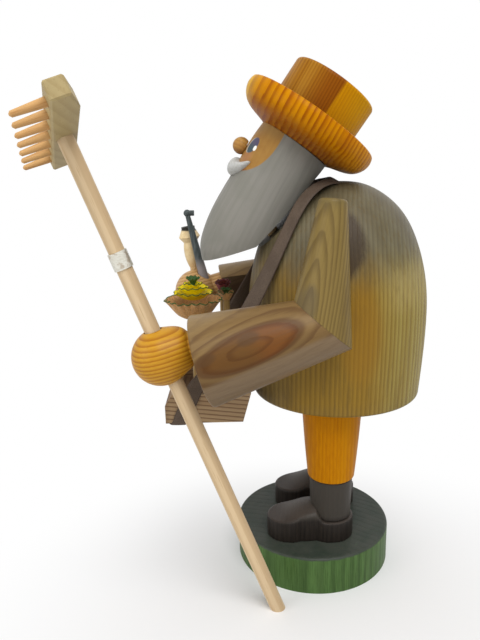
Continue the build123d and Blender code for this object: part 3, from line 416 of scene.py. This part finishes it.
hand_woods = {}
for side, name in ((1, "left"), (-1, "right")):
    dress(sleeve_paint(name + "_sleeve_arch", side, "arch"), name + "_upper_arm")
    dress(sleeve_paint(name + "_sleeve_oval", side, "oval"), name + "_forearm")
    low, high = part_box(name + "_hand")
    pith = (low + high) / 2 / MM + Vector((side * 10, 0, 80))
    light, dark = ((194, 142, 38), (150, 88, 12)) if side > 0 else ((196, 158, 106), (158, 112, 62))
    hand_woods[name] = wood(name + "_hand_wood", light, dark, (0.2, -0.96, -0.2), tuple(pith), 1.5,
                            line=0.75, rough=0.36, wobble=2.4)
dress(hand_woods["right"], "right_hand")


def reshape(name, move, body, material, voxel=0.0):
    # A copy of a node's mesh with each corner moved, shown in the node's place
    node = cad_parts[name]
    mesh = node.data.copy()
    made = put_in_scene(name + "_shaped", mesh)
    if voxel:
        # First cut into small even faces
        change = made.modifiers.new("even", "REMESH")
        change.mode = "VOXEL"
        change.voxel_size = voxel * MM
        made.data = bpy.data.meshes.new_from_object(made.evaluated_get(bpy.context.evaluated_depsgraph_get()))
        made.modifiers.clear()
        bpy.data.meshes.remove(mesh)
        mesh = made.data
    for corner in mesh.vertices:
        corner.co = move(corner.co / MM) * MM
    mesh.materials.clear()
    mesh.materials.append(material)
    for polygon in mesh.polygons:
        polygon.material_index = 0
    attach(made, body)
    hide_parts(name)


def smooth(value):
    # 0 up to 0, 1 from 1 on, smooth between
    value = min(max(value, 0), 1)
    return value * value * (3 - 2 * value)


# Left fist, fuller towards the sleeve than the turned ball
low, high = [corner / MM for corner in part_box("left_hand")]
BALL_R = 10.5
FIST_STRETCH = 2.8
ball = Vector((high.x - BALL_R, low.y + BALL_R, low.z + BALL_R))
sleeve_way = Vector((-0.147, 0.925, 0.356)).normalized()


def fuller_fist(point):
    reach = (point - ball).dot(sleeve_way)
    return point + sleeve_way * (FIST_STRETCH * smooth((reach - 3.4) / 5) if reach < 12 else 0)


reshape("left_hand", fuller_fist, "figure", hand_woods["left"])


# Shoes: the instep rises to the cuff, and the waist is fuller
INSTEP_RISE = 6.0
WAIST_SHARE = 0.2
for name in ("left_shoe", "right_shoe"):
    low, high = [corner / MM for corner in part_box(name)]
    cuff = [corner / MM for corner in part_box(name.replace("shoe", "boot_cuff"))]
    middle = (low.x + high.x) / 2

    def instep(point, low=low, high=high, cuff=cuff, middle=middle):
        along = (point.y - low.y) / (cuff[0].y + 1.5 - low.y)
        rise = smooth((along - 0.1) / 0.95) * smooth((cuff[0].y + 6 - point.y) / 4)
        wide = (high.x - low.x) / 2
        ridge = max(1 - ((point.x - middle) / wide) ** 2, 0)
        share = smooth((point.z - low.z) / (high.z - low.z))
        waist = 1 + WAIST_SHARE * math.exp(-((along - 0.82) / 0.3) ** 2)
        lift = INSTEP_RISE * rise * ridge * share
        return Vector((middle + (point.x - middle) * waist, point.y, point.z + lift))

    reshape(name, instep, "stand", boot, 0.5)


def slimmer_head(point):
    # The head as the photograph shows it: slimmer towards the back, its beard cut flatter
    q = point - HEAD
    down, ahead = q.dot(HEAD_DOWN), q.dot(HEAD_FRONT)
    ahead = ahead * HEAD_SLIM + HEAD_SHIFT
    down += 0.12 * (HEAD_R - ahead) * smooth((down - 8) / 14)
    return HEAD + Vector((q.x * HEAD_SLIM, 0, 0)) + HEAD_DOWN * down + HEAD_FRONT * ahead


def head_paint():
    # Head: skin with painted eyes and cheeks, grey hair and beard, alike on both sides
    m = Paint("head_paint")
    q = m.vector("SUBTRACT", m.p, tuple(HEAD))
    down = m.dot(q, HEAD_DOWN)
    ahead = m.dot(q, HEAD_FRONT) - HEAD_SHIFT
    turn = abs(m.math("ARCTAN2", m.x, ahead)) * (180 / math.pi)
    g = Grain(m, HEAD_DOWN, (0, 60, 150), 2.0, 2)
    mottle = m.noise(m.p, 5, 3) - 0.5
    skin = m.mix(m.fade(mottle, -0.2, 0.25), colour(160, 120, 58), colour(150, 107, 49))
    skin = m.mix(g.lines * 0.14, skin, colour(131, 86, 39))
    skin = m.mix(m.fade(down, 3.5, -1.5) * 0.4, skin, colour(141, 116, 73))
    cheek = ((down - 11.6) / 4.0) ** 2 + ((turn - 27) / 14) ** 2
    skin = m.mix(m.fade(cheek, 1.3, 0.1) * 0.6, skin, colour(167, 115, 79))
    mouth = ((down - 17.5) / 2.2) ** 2 + ((turn - 36) / 9) ** 2
    skin = m.mix(m.fade(mouth, 1.3, 0.3) * 0.5, skin, colour(122, 69, 43))
    rim = (m.math("MAXIMUM", down, 0.0) / 18.8) ** 2.6 + (turn / 68) ** 2.6
    hair = m.fade(rim + mottle * 0.06, 0.97, 1.04)
    strand = m.noise(g.place, 1.6, 4, 0.6)
    beard = m.mix(m.fade(strand, 0.3, 0.7), colour(135, 132, 125), colour(127, 125, 117))
    beard = m.mix(m.fade(m.noise(m.p, 11, 3), 0.42, 0.7) * 0.35, beard, colour(118, 118, 108))
    beard = m.mix(m.fade(down, 14, 2) * 0.1, beard, colour(109, 107, 97))
    stroke = m.fade(m.noise(m.vector("MULTIPLY", g.place, (1, 1, 1.6)), 4, 1), 0.62, 0.68)
    beard = m.mix(stroke * 0.2, beard, colour(103, 103, 97))
    # Painted shade: the beard darkens towards the back of the head, facing the coat
    beard = m.mix(m.fade(turn, 95, 150) * 0.3, beard, colour(68, 66, 58))
    base = m.mix(hair, skin, beard)
    # Eye: white behind a dark iris, with a painted highlight at its lower corner
    tilt = down - 6.9 + (turn - 28) * 0.06
    white = (tilt / 3.3) ** 2 + ((turn - 25) / 11.5) ** 2
    base = m.mix(m.fade(white, 1.1, 0.85) * 0.8, base, colour(178, 178, 172))
    iris = (tilt / 3.3) ** 2 + ((turn - 28) / 10.5) ** 2
    pupil = m.mix(m.fade(down + mottle * 3, 5.6, 8.6), colour(82, 76, 100), colour(66, 84, 92))
    base = m.mix(m.fade(iris, 1.15, 0.85), base, pupil)
    # Painted highlight: a white glint on the eye
    light = ((down - 7.7) / 1.1) ** 2 + ((turn - 36) / 3.4) ** 2
    base = m.mix(m.fade(light, 1.15, 0.8), base, colour(246, 246, 240))
    return m.done(base, 0.42 + strand * 0.1, strand * 0.3 + g.lines * -0.2, 0.06)


reshape("head", slimmer_head, "figure", head_paint())

m = Paint("nose_stain")
g = Grain(m, (0, -0.87, 0.5), (0, -30, 196), 1.6, 1.5)
low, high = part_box("nose")
nose_z = (low.z + high.z) / 2 / MM
base = m.mix(m.fade(g.cloud, 0.35, 0.7), colour(182, 138, 72), colour(164, 118, 58))
base = m.mix(g.lines * 0.3, base, colour(124, 78, 40))
# Painted shade: the nose darkens towards its underside
base = m.mix(m.fade(m.z + m.y * 0.3 - g.wander, nose_z - 9, nose_z - 12.5) * 0.8, base, colour(112, 72, 46))
dress(m.done(base, 0.36, g.fibre, 0.06), "nose")

m = Paint("moustache_paint")
brush = m.noise(m.vector("MULTIPLY", m.p, (0.25, 1, 1)), 0.7, 3)
base = m.mix(m.fade(brush, 0.35, 0.7), colour(186, 186, 183), colour(172, 172, 166))
moustache_paint = m.done(base, 0.34 + brush * 0.1, brush, 0.05)


MOUSTACHE_TURN = 43
MOUSTACHE_OUT = 16.6


def moustache():
    # Crescent round the face, thick in the middle, its tips turned up
    around, steps = 20, 48
    verts, faces = [], []
    for i in range(steps + 1):
        t = i / steps * 2 - 1
        turn = math.radians(MOUSTACHE_TURN * t)
        centre = np.interp(abs(t), (0, 0.2, 0.45, 0.75, 1), (17.2, 17.6, 17.8, 16.2, 13.2))
        half = np.interp(abs(t), (0, 0.2, 0.45, 0.75, 0.93, 1), (4.0, 3.6, 2.7, 2.0, 1.2, 0.3))
        thick = np.interp(abs(t), (0, 0.45, 0.75, 0.93, 1), (3.0, 3.0, 2.3, 1.3, 0.3))
        out = HEAD_FRONT * math.cos(turn) + Vector((math.sin(turn), 0, 0))
        middle = HEAD + HEAD_FRONT * HEAD_SHIFT + HEAD_DOWN * float(centre) + out * MOUSTACHE_OUT
        for k in range(around):
            angle = 2 * math.pi * k / around
            point = middle + HEAD_DOWN * float(half * math.cos(angle)) + out * float(thick * math.sin(angle))
            verts.append(tuple(point))
    for i in range(steps):
        for k in range(around):
            a, b = i * around + k, i * around + (k + 1) % around
            faces.append((a, b, b + around, a + around))
    faces.append(tuple(range(around - 1, -1, -1)))
    faces.append(tuple(range(steps * around, (steps + 1) * around)))
    made = piece("moustache_crescent", verts, faces, moustache_paint, "figure")
    change = made.modifiers.new("round", "SMOOTH")
    change.factor, change.iterations = 0.5, 6
    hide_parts("moustache")


moustache()


def hat_paint(name, crown):
    # Hat: strong straight stripes along its axis, finer towards the back; the crown's front half is browner
    m = Paint(name)
    q = m.vector("SUBTRACT", m.p, tuple(HAT))
    up = m.dot(q, HAT_UP)
    g = Grain(m, HAT_UP + HAT_FRONT * 0.08, tuple(HAT), 1.5, 2.0)
    ahead = m.dot(g.across, HAT_FRONT) + m.x * -0.054
    drift = (m.noise(g.place, 7, 3) - 0.5) * 2.4 + (m.noise(g.place, 2.0, 2) - 0.5) * 0.8
    if crown:
        turns = (ahead + drift * 0.5) / 1.15
    else:
        turns = m.math("LOGARITHM", (ahead + drift + 29) * 0.037 + 1.25, math.e) * 27
    lines = g.banded(m, turns, 0.2)
    strong = m.fade(m.noise(g.place, 3.4, 2), 0.35, 0.62)
    if crown:
        gold = m.mix(lines * 0.4, colour(183, 124, 2), colour(152, 94, 0))
        pale = m.mix(lines * 0.4, colour(198, 147, 9), colour(170, 113, 2))
        gold = m.mix(m.fade(ahead, -6, -17) * 0.6, gold, pale)
        brown = m.mix(m.fade(g.cloud, 0.3, 0.7), colour(167, 119, 40), colour(154, 102, 23))
        brown = m.mix(lines * (strong * 0.4 + 0.3), brown, colour(118, 69, 8))
        deep = m.mix(lines * 0.5, colour(129, 67, 1), colour(95, 41, 0))
        brown = m.mix(m.fade(ahead + drift * 0.5, 9, 0) * 0.9, brown, deep)
        base = m.mix(m.fade(m.dot(q, HAT_FRONT) + drift * 0.3, -2.4, -1.2), gold, brown)
    else:
        base = m.mix(m.fade(g.cloud, 0.3, 0.75), colour(197, 131, 0), colour(177, 107, 0))
        base = m.mix(lines * (strong * 0.4 + 0.6), base, colour(145, 76, 0))
        low = m.fade(up + drift * 2 + lines * 2.4, 6.8, 2.2)
        stain = m.mix(lines, colour(143, 85, 25), colour(107, 47, 17))
        base = m.mix(low * 0.8, base, stain)
        back = m.fade(ahead + drift * 3, -12, -27)
        base = m.mix(back * 0.6, base, m.mix(lines * 0.6, colour(208, 144, 38), colour(137, 76, 9)))
        front = m.fade(ahead + drift * 2, 21, 28)
        base = m.mix(front * 0.6, base, m.mix(lines * 0.4, colour(224, 183, 23), colour(179, 130, 28)))
    base = m.mix(m.fade(g.fibre, 0.45, 0.8) * 0.25, base, colour(150, 88, 6))
    return m.done(base, 0.42 - g.fibre * 0.1, lines * -0.6 + g.fibre * 0.4, 0.1, Specular_IOR_Level=0.05)


dress(hat_paint("brim_stain", False), "hat_brim")
dress(hat_paint("crown_stain", True), "hat_crown")

# Rake: plain beech with short dark flecks
HANDLE = Vector((0.0209, -0.3452, 0.9383))


def beech(name, light, dark, grain, pith):
    m = Paint(name)
    g = Grain(m, grain, pith, 2.6, 1.5)
    fleck = m.noise(g.place, 0.42, 2, 0.5)
    base = m.mix(m.fade(g.cloud, 0.3, 0.75), colour(*light), colour(*[c * 0.93 for c in light]))
    base = m.mix(g.lines * 0.34, base, colour(*dark))
    base = m.mix(m.fade(fleck, 0.6, 0.72) * 0.5, base, colour(*dark))
    return m.done(base, 0.55 - g.fibre * 0.1, g.fibre * 0.5 + fleck * -0.4, 0.08)


dress(beech("handle_beech", (210, 185, 148), (168, 135, 94), HANDLE, (60, 0, 0)), "rake_handle")
dress(beech("bar_beech", (174, 155, 110), (146, 124, 80), (0.92, 0.33, -0.1), (40, -60, 240)), "rake_bar")
dress(beech("tooth_beech", (204, 160, 104), (160, 108, 58), (0.3, -0.9, -0.3), (0, -90, 240)),
      *[f"rake_tooth_{i}" for i in range(1, 8)])

# Metal parts
m = Paint("band_metal")
scratch = m.noise(m.vector("MULTIPLY", m.p, (1, 1, 6)), 1.3, 4, 0.6)
stain = m.noise(m.p, 3, 2)
base = m.mix(m.fade(scratch, 0.3, 0.7), colour(228, 226, 216), colour(206, 202, 188))
base = m.mix(m.fade(stain, 0.56, 0.66) * 0.45, base, colour(150, 118, 78))
dress(m.done(base, 0.3 + scratch * 0.2, scratch, 0.05, Metallic=0.75), "rake_band")
m = Paint("plate_brass")
scratch = m.noise(m.p, 1.1, 4, 0.6)
soot = m.fade(m.length(m.vector("MULTIPLY", m.vector("SUBTRACT", m.p, (0, COAT_Y, 0)), (1, 1, 0))), 9, 2)
base = m.mix(m.fade(scratch, 0.3, 0.7), colour(196, 160, 84), colour(164, 126, 60))
base = m.mix(soot * 0.7, base, colour(70, 56, 40))
dress(m.done(base, 0.34 + scratch * 0.2, scratch, 0.05, Metallic=0.9), "incense_plate", "plate_nails")

# Tray: brown stained boards, darker inside
BOARDS = (
    ("tray_left_side", (0, 1, -0.12), (22, -40, 42)),
    ("tray_right_side", (0, 1, 0.1), (-22, -40, 44)),
    ("tray_floor", (1, 0, 0), (0, -20, 50)),
    ("tray_front", (1, 0, 0), (0, -70, 60)),
    ("tray_back", (1, 0, 0), (0, -20, 60)),
)
for name, grain, pith in BOARDS:
    m = Paint(name + "_stain")
    g = Grain(m, grain, pith, 1.8, 1.8, 0.0, 0.5)
    base = m.mix(m.fade(g.cloud, 0.3, 0.75), colour(164, 138, 104), colour(144, 116, 84))
    base = m.mix(g.lines * 0.75, base, colour(92, 62, 44))
    inner = m.fade(abs(m.x), 23.8, 23.4) * m.fade(m.y, -59.0, -58.6)
    base = m.mix(inner * 0.7, base, colour(64, 42, 30))
    base = m.mix(m.fade(m.y, -59.4, -62.0) * 0.3, base, colour(92, 64, 44))
    dress(m.done(base, 0.5 - g.fibre * 0.1, g.lines * -0.6 + g.fibre * 0.5, 0.14), name)

# Stalks and the pipe
dress(wood("stalk_wood", (150, 122, 74), (104, 80, 42), (0, 0, 1), (20, -40, 90), 1.4, 0.4),
      "big_rosette_stem", "small_rosette_stem", "red_flower_stem")
m = Paint("bowl_cream")
low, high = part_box("pipe_bowl")
brush = m.noise(m.p, 2.2, 4, 0.6)
base = m.mix(m.fade(brush, 0.3, 0.7), colour(230, 208, 164), colour(214, 188, 142))
base = m.mix(m.fade(m.z, high.z / MM - 2.6, high.z / MM - 2.0), base, colour(46, 44, 38))
base = m.mix(m.fade(m.z, low.z / MM + 12, low.z / MM + 2) * 0.6, base, colour(190, 152, 98))
dress(m.done(base, 0.34 + brush * 0.1, brush, 0.06), "pipe_bowl")
m = Paint("pipe_stem_paint")
low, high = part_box("pipe_stem")
brush = m.noise(m.vector("MULTIPLY", m.p, (1, 1, 0.2)), 0.8, 3)
base = m.mix(m.fade(brush, 0.3, 0.7), colour(84, 92, 92), colour(62, 68, 68))
base = m.mix(m.fade(m.z, low.z / MM + 13, low.z / MM + 6) * 0.8, base, colour(150, 140, 138))
dress(m.done(base, 0.35 + brush * 0.1, brush, 0.05), "pipe_stem")


STRAP_W = 6.3
STRAP_T = 1.0
STRAP_ROW = 7


def strap_rows():
    # Rows of seven points across the band's middle layer, from the left tab over the neck to the right tab.
    # The route is one side's middle line from the tray's upper edge up to the neck.
    steps = 8
    foot_x, foot_y, under_z = 26.6, -57.8, 74.2
    route = [(26.3, -49.4, 89.95), (25.6, -40.0, 101.0), (24.6, -30.6, 115.5), (23.0, -21.8, 131.5),
             (21.4, -14.8, 145.4), (19.8, -9.6, 155.6), (17.8, -5.4, 161.8), (14.8, -0.8, 165.6),
             (10.2, 4.0, 167.2), (5.0, 7.6, 167.4), (0.0, 8.8, 167.4)]
    route = np.array(route + [(-x, y, z) for x, y, z in reversed(route[:-1])])
    line = []
    for i in range(len(route) - 1):
        a, b = route[max(i - 1, 0)], route[i]
        c, d = route[i + 1], route[min(i + 2, len(route) - 1)]
        for t in np.arange(0, 1, 1 / steps):
            line.append(0.5 * (2 * b + (c - a) * t + (2 * a - 5 * b + 4 * c - d) * t * t
                               + (3 * b - 3 * c + d - a) * t ** 3))
    line = np.array(line + [route[-1]])
    foot = np.array((foot_x, foot_y + 1.0, under_z))
    start = [foot + (line[0] - foot) * d for d in np.linspace(0, 0.9, 6)]
    for point in start:
        point[0] = foot_x
    end = [p * (-1, 1, 1) for p in reversed(start)]
    line = np.array(start + list(line) + end)
    ahead = np.gradient(line, axis=0)
    ahead /= np.linalg.norm(ahead, axis=1, keepdims=True)
    rows = []
    shares = np.linspace(-0.5, 0.5, STRAP_ROW)
    for point, run in zip(line, ahead):
        rise = min(max((point[2] - 92) / 60, 0), 1)
        out = np.array((np.sign(point[0]) * (1 - rise * 0.25), 0, 0)) * (1 - rise)
        away = point - (0, COAT_Y - 24 * smooth(1 - abs(point[0]) / 16), 128)
        out = out + away / np.linalg.norm(away) * rise
        side = np.cross(out, run)
        side /= np.linalg.norm(side)
        rows.append(np.array([point + side * s * STRAP_W for s in shares]))
    for row in (rows[0], rows[-1]):
        row[:, 2] = under_z
    # Tab under the tray, a little wider than the band
    tab = [foot_y + s * STRAP_W * 1.05 for s in shares]
    shelf = [np.array([(x, y, under_z) for y in tab]) for x in (19.4, 22.0, 24.6)]
    if (rows[0][-1] - rows[0][0])[1] < 0:
        shelf = [row[::-1] for row in shelf]
    far = [row * (-1, 1, 1) for row in reversed(shelf)]
    if (rows[-1][-1] - rows[-1][0])[1] * (far[0][-1] - far[0][0])[1] < 0:
        far = [row[::-1] for row in far]
    return shelf + rows + far


def strap():
    m = Paint("strap_leather")
    pore = m.noise(m.p, 0.45, 4, 0.65)
    crease = m.noise(m.vector("MULTIPLY", m.p, (1, 0.5, 0.5)), 5, 3)
    base = m.mix(m.fade(pore, 0.35, 0.7), colour(96, 82, 70), colour(82, 69, 58))
    base = m.mix(m.fade(crease, 0.45, 0.7) * 0.5, base, colour(72, 60, 50))
    edge = m.fade(abs(m.attribute("tint")), 0.8, 1.0)
    base = m.mix(edge * 0.6, base, colour(70, 58, 50))
    leather = m.done(base, 0.5 + pore * 0.15, pore + crease * 0.6, 0.12)
    rows = strap_rows()
    count = len(rows)
    grid = np.array(rows)
    along = np.gradient(grid, axis=0)
    across = np.gradient(grid, axis=1)
    normal = np.cross(across, along)
    normal /= np.linalg.norm(normal, axis=2, keepdims=True) + 1e-12
    # Half the thickness across the band, thinner at its edges
    thick = np.array([0.48, 0.92, 1, 1, 1, 0.92, 0.48])[None, :, None] * (STRAP_T / 2)
    upper, lower = grid + normal * thick, grid - normal * thick
    verts, faces, tints = [], [], []
    for layer in (upper, lower):
        for i in range(count):
            for j in range(STRAP_ROW):
                verts.append(layer[i, j])
                tints.append((j - 3) / 3)
    size = count * STRAP_ROW
    for i in range(count - 1):
        for j in range(STRAP_ROW - 1):
            a = i * STRAP_ROW + j
            b = a + STRAP_ROW
            faces.append((a, a + 1, b + 1, b))
            faces.append((size + a, size + b, size + b + 1, size + a + 1))
        a, b = i * STRAP_ROW, (i + 1) * STRAP_ROW
        faces.append((a, b, size + b, size + a))
        a, b = a + STRAP_ROW - 1, b + STRAP_ROW - 1
        faces.append((a, size + a, size + b, b))
    for i in (0, count - 1):
        for j in range(STRAP_ROW - 1):
            a = i * STRAP_ROW + j
            end = (a, size + a, size + a + 1, a + 1)
            faces.append(end if i == 0 else (a, a + 1, size + a + 1, size + a))
    made = piece("strap_band", verts, faces, leather, "figure", tints)
    rounder = made.modifiers.new("smooth", "SUBSURF")
    rounder.levels = rounder.render_levels = 1
    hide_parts("strap")


strap()


def petal_paint(name, inner, inner_dark, rim, outer):
    m = Paint(name)
    tint = m.attribute("tint")
    speck = m.noise(m.p, 0.9, 4, 0.6)
    thread = m.noise(m.vector("MULTIPLY", m.p, (1, 1, 0.3)), 0.5, 3)
    face = m.mix(m.fade(speck, 0.3, 0.7), colour(*inner), colour(*inner_dark))
    face = m.mix(m.fade(tint + (speck - 0.5) * 0.14, 0.9, 0.97), face, colour(*rim))
    shell = m.mix(m.fade(thread, 0.3, 0.75), colour(*outer), colour(*[c * 0.8 for c in outer]))
    shell = m.mix(m.fade(tint * -1 + (speck - 0.5) * 0.2, 0.9, 0.98), shell, colour(*rim))
    base = m.mix(m.fade(tint, 0.0, 0.02), shell, face)
    return m.done(base, 0.55, thread + speck * 0.5, 0.12, Subsurface_Weight=0.05)


PETAL_T = 0.34
PETAL_STEPS = 10


def flower(name, centre, tiers, material, node, seed):
    # Shaved wood flower: tiers of thin curled petals, each tier cupped below and ruffled round its rim
    rng = np.random.default_rng(seed)
    verts, faces, tints = [], [], []
    for base_r, rim_r, low, high, petals, cup, dark in tiers:
        around, steps = petals * PETAL_STEPS, PETAL_STEPS
        lift = rng.uniform(-0.3, 0.3, petals)
        reach = rng.uniform(0.93, 1.0, petals)
        for layer in (0, 1):
            first = len(verts)
            for i in range(around):
                angle = 2 * math.pi * i / around
                k, f = divmod(i / PETAL_STEPS, 1)
                k = int(k) % petals
                notch = abs(2 * f - 1)
                for j in range(steps):
                    s = j / (steps - 1)
                    radius = base_r + (rim_r * reach[k] - base_r) * s ** cup
                    radius *= 1 - 0.09 * s ** 4 * notch ** 1.5
                    height = low + (high - low) * (1 - (1 - s) ** 1.4) + lift[k] * s ** 3
                    height += 0.22 * s ** 3 * math.cos(2 * math.pi * f)
                    offset = PETAL_T if layer else 0.0
                    shrink = radius - offset * (1 - s)
                    verts.append((centre[0] + shrink * math.cos(angle), centre[1] + shrink * math.sin(angle),
                                  centre[2] + height + offset * 0.9))
                    tint = 0.03 + 0.97 * max(s, dark)
                    tints.append(tint if low >= 0.1 else -tint)
            hub = len(verts)
            verts.append((centre[0], centre[1], centre[2] + low + (0.3 if layer else 0.0)))
            tints.append(0.03 if layer else -0.03)
            for i in range(around):
                n = (i + 1) % around
                for j in range(steps - 1):
                    a, b = first + i * steps + j, first + n * steps + j
                    faces.append((a, b, b + 1, a + 1) if layer else (a, a + 1, b + 1, b))
                a, b = first + i * steps, first + n * steps
                faces.append((hub, b, a) if layer else (hub, a, b))
            if layer:
                below = first - around * steps - 1
                for i in range(around):
                    n = (i + 1) % around
                    a, b = first + i * steps + steps - 1, first + n * steps + steps - 1
                    c, d = below + i * steps + steps - 1, below + n * steps + steps - 1
                    faces.append((a, b, d, c))
    made = piece(name, verts, faces, material, "figure", tints)
    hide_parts(node)


yellow = petal_paint("yellow_petals", (240, 222, 22), (214, 192, 10), (44, 74, 34), (198, 148, 92))
red = petal_paint("red_petals", (128, 46, 56), (100, 34, 44), (66, 26, 34), (116, 46, 46))
# Tiers from the lowest: base radius, rim radius, foot, rim height, petals, power of the cup, least tint
BIG_TIERS = [
    (4.4, 12.4, -7.0, 0.6, 20, 0.6, 0),
    (3.4, 8.6, 0.8, 3.6, 14, 0.7, 0),
    (2.4, 6.6, 3.0, 5.6, 11, 0.7, 0),
    (1.2, 4.2, 4.8, 7.2, 9, 0.8, 0),
    (0.8, 3.0, 6.4, 9.4, 9, 1.3, 1),
]
SMALL_TIERS = [(1.5, 3.8, -3.4, 0.0, 9, 0.8, 0.4), (0.6, 2.4, -0.8, 1.2, 7, 1.0, 1)]
RED_TIERS = [(1.5, 3.8, -3.8, 0.0, 8, 0.7, 0), (0.8, 2.6, -1.2, 1.0, 6, 0.9, 0)]
flower("rosette_big", (8.0, -50.1, 121.0), BIG_TIERS, yellow, "big_rosette", 4)
flower("rosette_small", (-4.0, -37.0, 121.9), SMALL_TIERS, yellow, "small_rosette", 9)
flower("flower_red", (-12.0, -38.5, 124.6), RED_TIERS, red, "red_flower", 2)


def empty_tree(owner, output):
    # The cleared node tree of a material or a world, and the socket that shows its surface
    owner.use_nodes = True
    tree = owner.node_tree
    tree.nodes.clear()
    return tree, tree.nodes.new(output).inputs["Surface"]


def shade(tree, kind, **values):
    # The output of a new shader node with these socket values
    made = tree.nodes.new(kind)
    for key, value in values.items():
        made.inputs[key].default_value = value
    return made.outputs[0]


def choice(tree, share, first, second):
    # The output of a mix of two shaders: the first where share is 0
    made = tree.nodes.new("ShaderNodeMixShader")
    for socket, source in zip(made.inputs, (share, first, second)):
        tree.links.new(source, socket)
    return made.outputs[0]


# Floor, seen as white where no shadow falls on it. Lengths in metres.
FLOOR_HALF = 3
SHADOW_MIDDLE = (0.075, 0, 0)
SHADOW_NEAR, SHADOW_FAR = 0.045, 0.17
mesh = bpy.data.meshes.new("floor")
corners = [(x * FLOOR_HALF, y * FLOOR_HALF, 0) for x, y in ((-1, -1), (1, -1), (1, 1), (-1, 1))]
mesh.from_pydata(corners, [], [(0, 1, 2, 3)])
floor = put_in_scene("floor", mesh)
material = bpy.data.materials.new("floor_white")
tree, surface = empty_tree(material, "ShaderNodeOutputMaterial")
place = tree.nodes.new("ShaderNodeTexCoord")
shift = tree.nodes.new("ShaderNodeVectorMath")
shift.operation = "SUBTRACT"
shift.inputs[1].default_value = SHADOW_MIDDLE
reach = tree.nodes.new("ShaderNodeVectorMath")
reach.operation = "LENGTH"
fade = tree.nodes.new("ShaderNodeMapRange")
fade.interpolation_type = "SMOOTHSTEP"
fade.inputs["From Min"].default_value = SHADOW_NEAR
fade.inputs["From Max"].default_value = SHADOW_FAR
tree.links.new(place.outputs["Object"], shift.inputs[0])
tree.links.new(shift.outputs[0], reach.inputs[0])
tree.links.new(reach.outputs["Value"], fade.inputs["Value"])
matt = shade(tree, "ShaderNodeBsdfDiffuse", Color=(0.8, 0.8, 0.8, 1))
seen = choice(tree, fade.outputs[0], matt, shade(tree, "ShaderNodeEmission"))
path = tree.nodes.new("ShaderNodeLightPath")
tree.links.new(choice(tree, path.outputs["Is Camera Ray"], matt, seen), surface)
mesh.materials.append(material)
floor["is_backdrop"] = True

# World: white to the camera and in reflections, a plain level of soft light otherwise
SOFT_LIGHT = 0.62
world = bpy.data.worlds.new("studio")
bpy.context.scene.world = world
tree, surface = empty_tree(world, "ShaderNodeOutputWorld")
dim = shade(tree, "ShaderNodeBackground", Color=(1, 1, 1, 1), Strength=SOFT_LIGHT)
white = shade(tree, "ShaderNodeBackground", Color=(1, 1, 1, 1), Strength=1.0)
path = tree.nodes.new("ShaderNodeLightPath")
ray = path.outputs["Is Camera Ray"]
for other in ("Is Glossy Ray", "Is Transmission Ray"):
    either = tree.nodes.new("ShaderNodeMath")
    either.operation = "MAXIMUM"
    tree.links.new(ray, either.inputs[0])
    tree.links.new(path.outputs[other], either.inputs[1])
    ray = either.outputs[0]
tree.links.new(choice(tree, ray, dim, white), surface)


def lamp(name, place, aim, size, power):
    data = bpy.data.lights.new(name, "AREA")
    data.shape = "DISK"
    data.size = size
    data.energy = power
    made = put_in_scene(name, data)
    made.location = place
    made.rotation_euler = (Vector(aim) - Vector(place)).to_track_quat("-Z", "Y").to_euler()


lamp("key", (0.55, 0.15, 0.95), (0, 0, 0.1), 0.7, 7.0)
lamp("fill", (0.5, -0.9, 0.5), (0, 0, 0.1), 0.8, 3.0)

# Camera at the photograph's place, its focal length and frame height in pixels
FOCAL, FRAME_H = 600.0, 640.0
SENSOR = 36.0
eye = Vector((249.008, -31.294, 173.040)) * MM
pitch, roll = 0.246928, -0.024557
ahead = Vector((-math.cos(pitch), 0, -math.sin(pitch)))
level = Vector((0, 1, 0))
upward = Vector((-math.sin(pitch), 0, math.cos(pitch)))
right = level * math.cos(roll) + upward * math.sin(roll)
top = level * -math.sin(roll) + upward * math.cos(roll)
data = bpy.data.cameras.new("camera")
camera = put_in_scene("camera", data)
data.sensor_width = SENSOR
data.lens = FOCAL / FRAME_H * SENSOR
data.clip_start = 0.01
camera.matrix_world = Matrix((
    (right.x, top.x, -ahead.x, eye.x),
    (right.y, top.y, -ahead.y, eye.y),
    (right.z, top.z, -ahead.z, eye.z),
    (0, 0, 0, 1),
))
bpy.context.scene.camera = camera
bpy.context.scene.view_settings.view_transform = "Standard"

low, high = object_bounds()
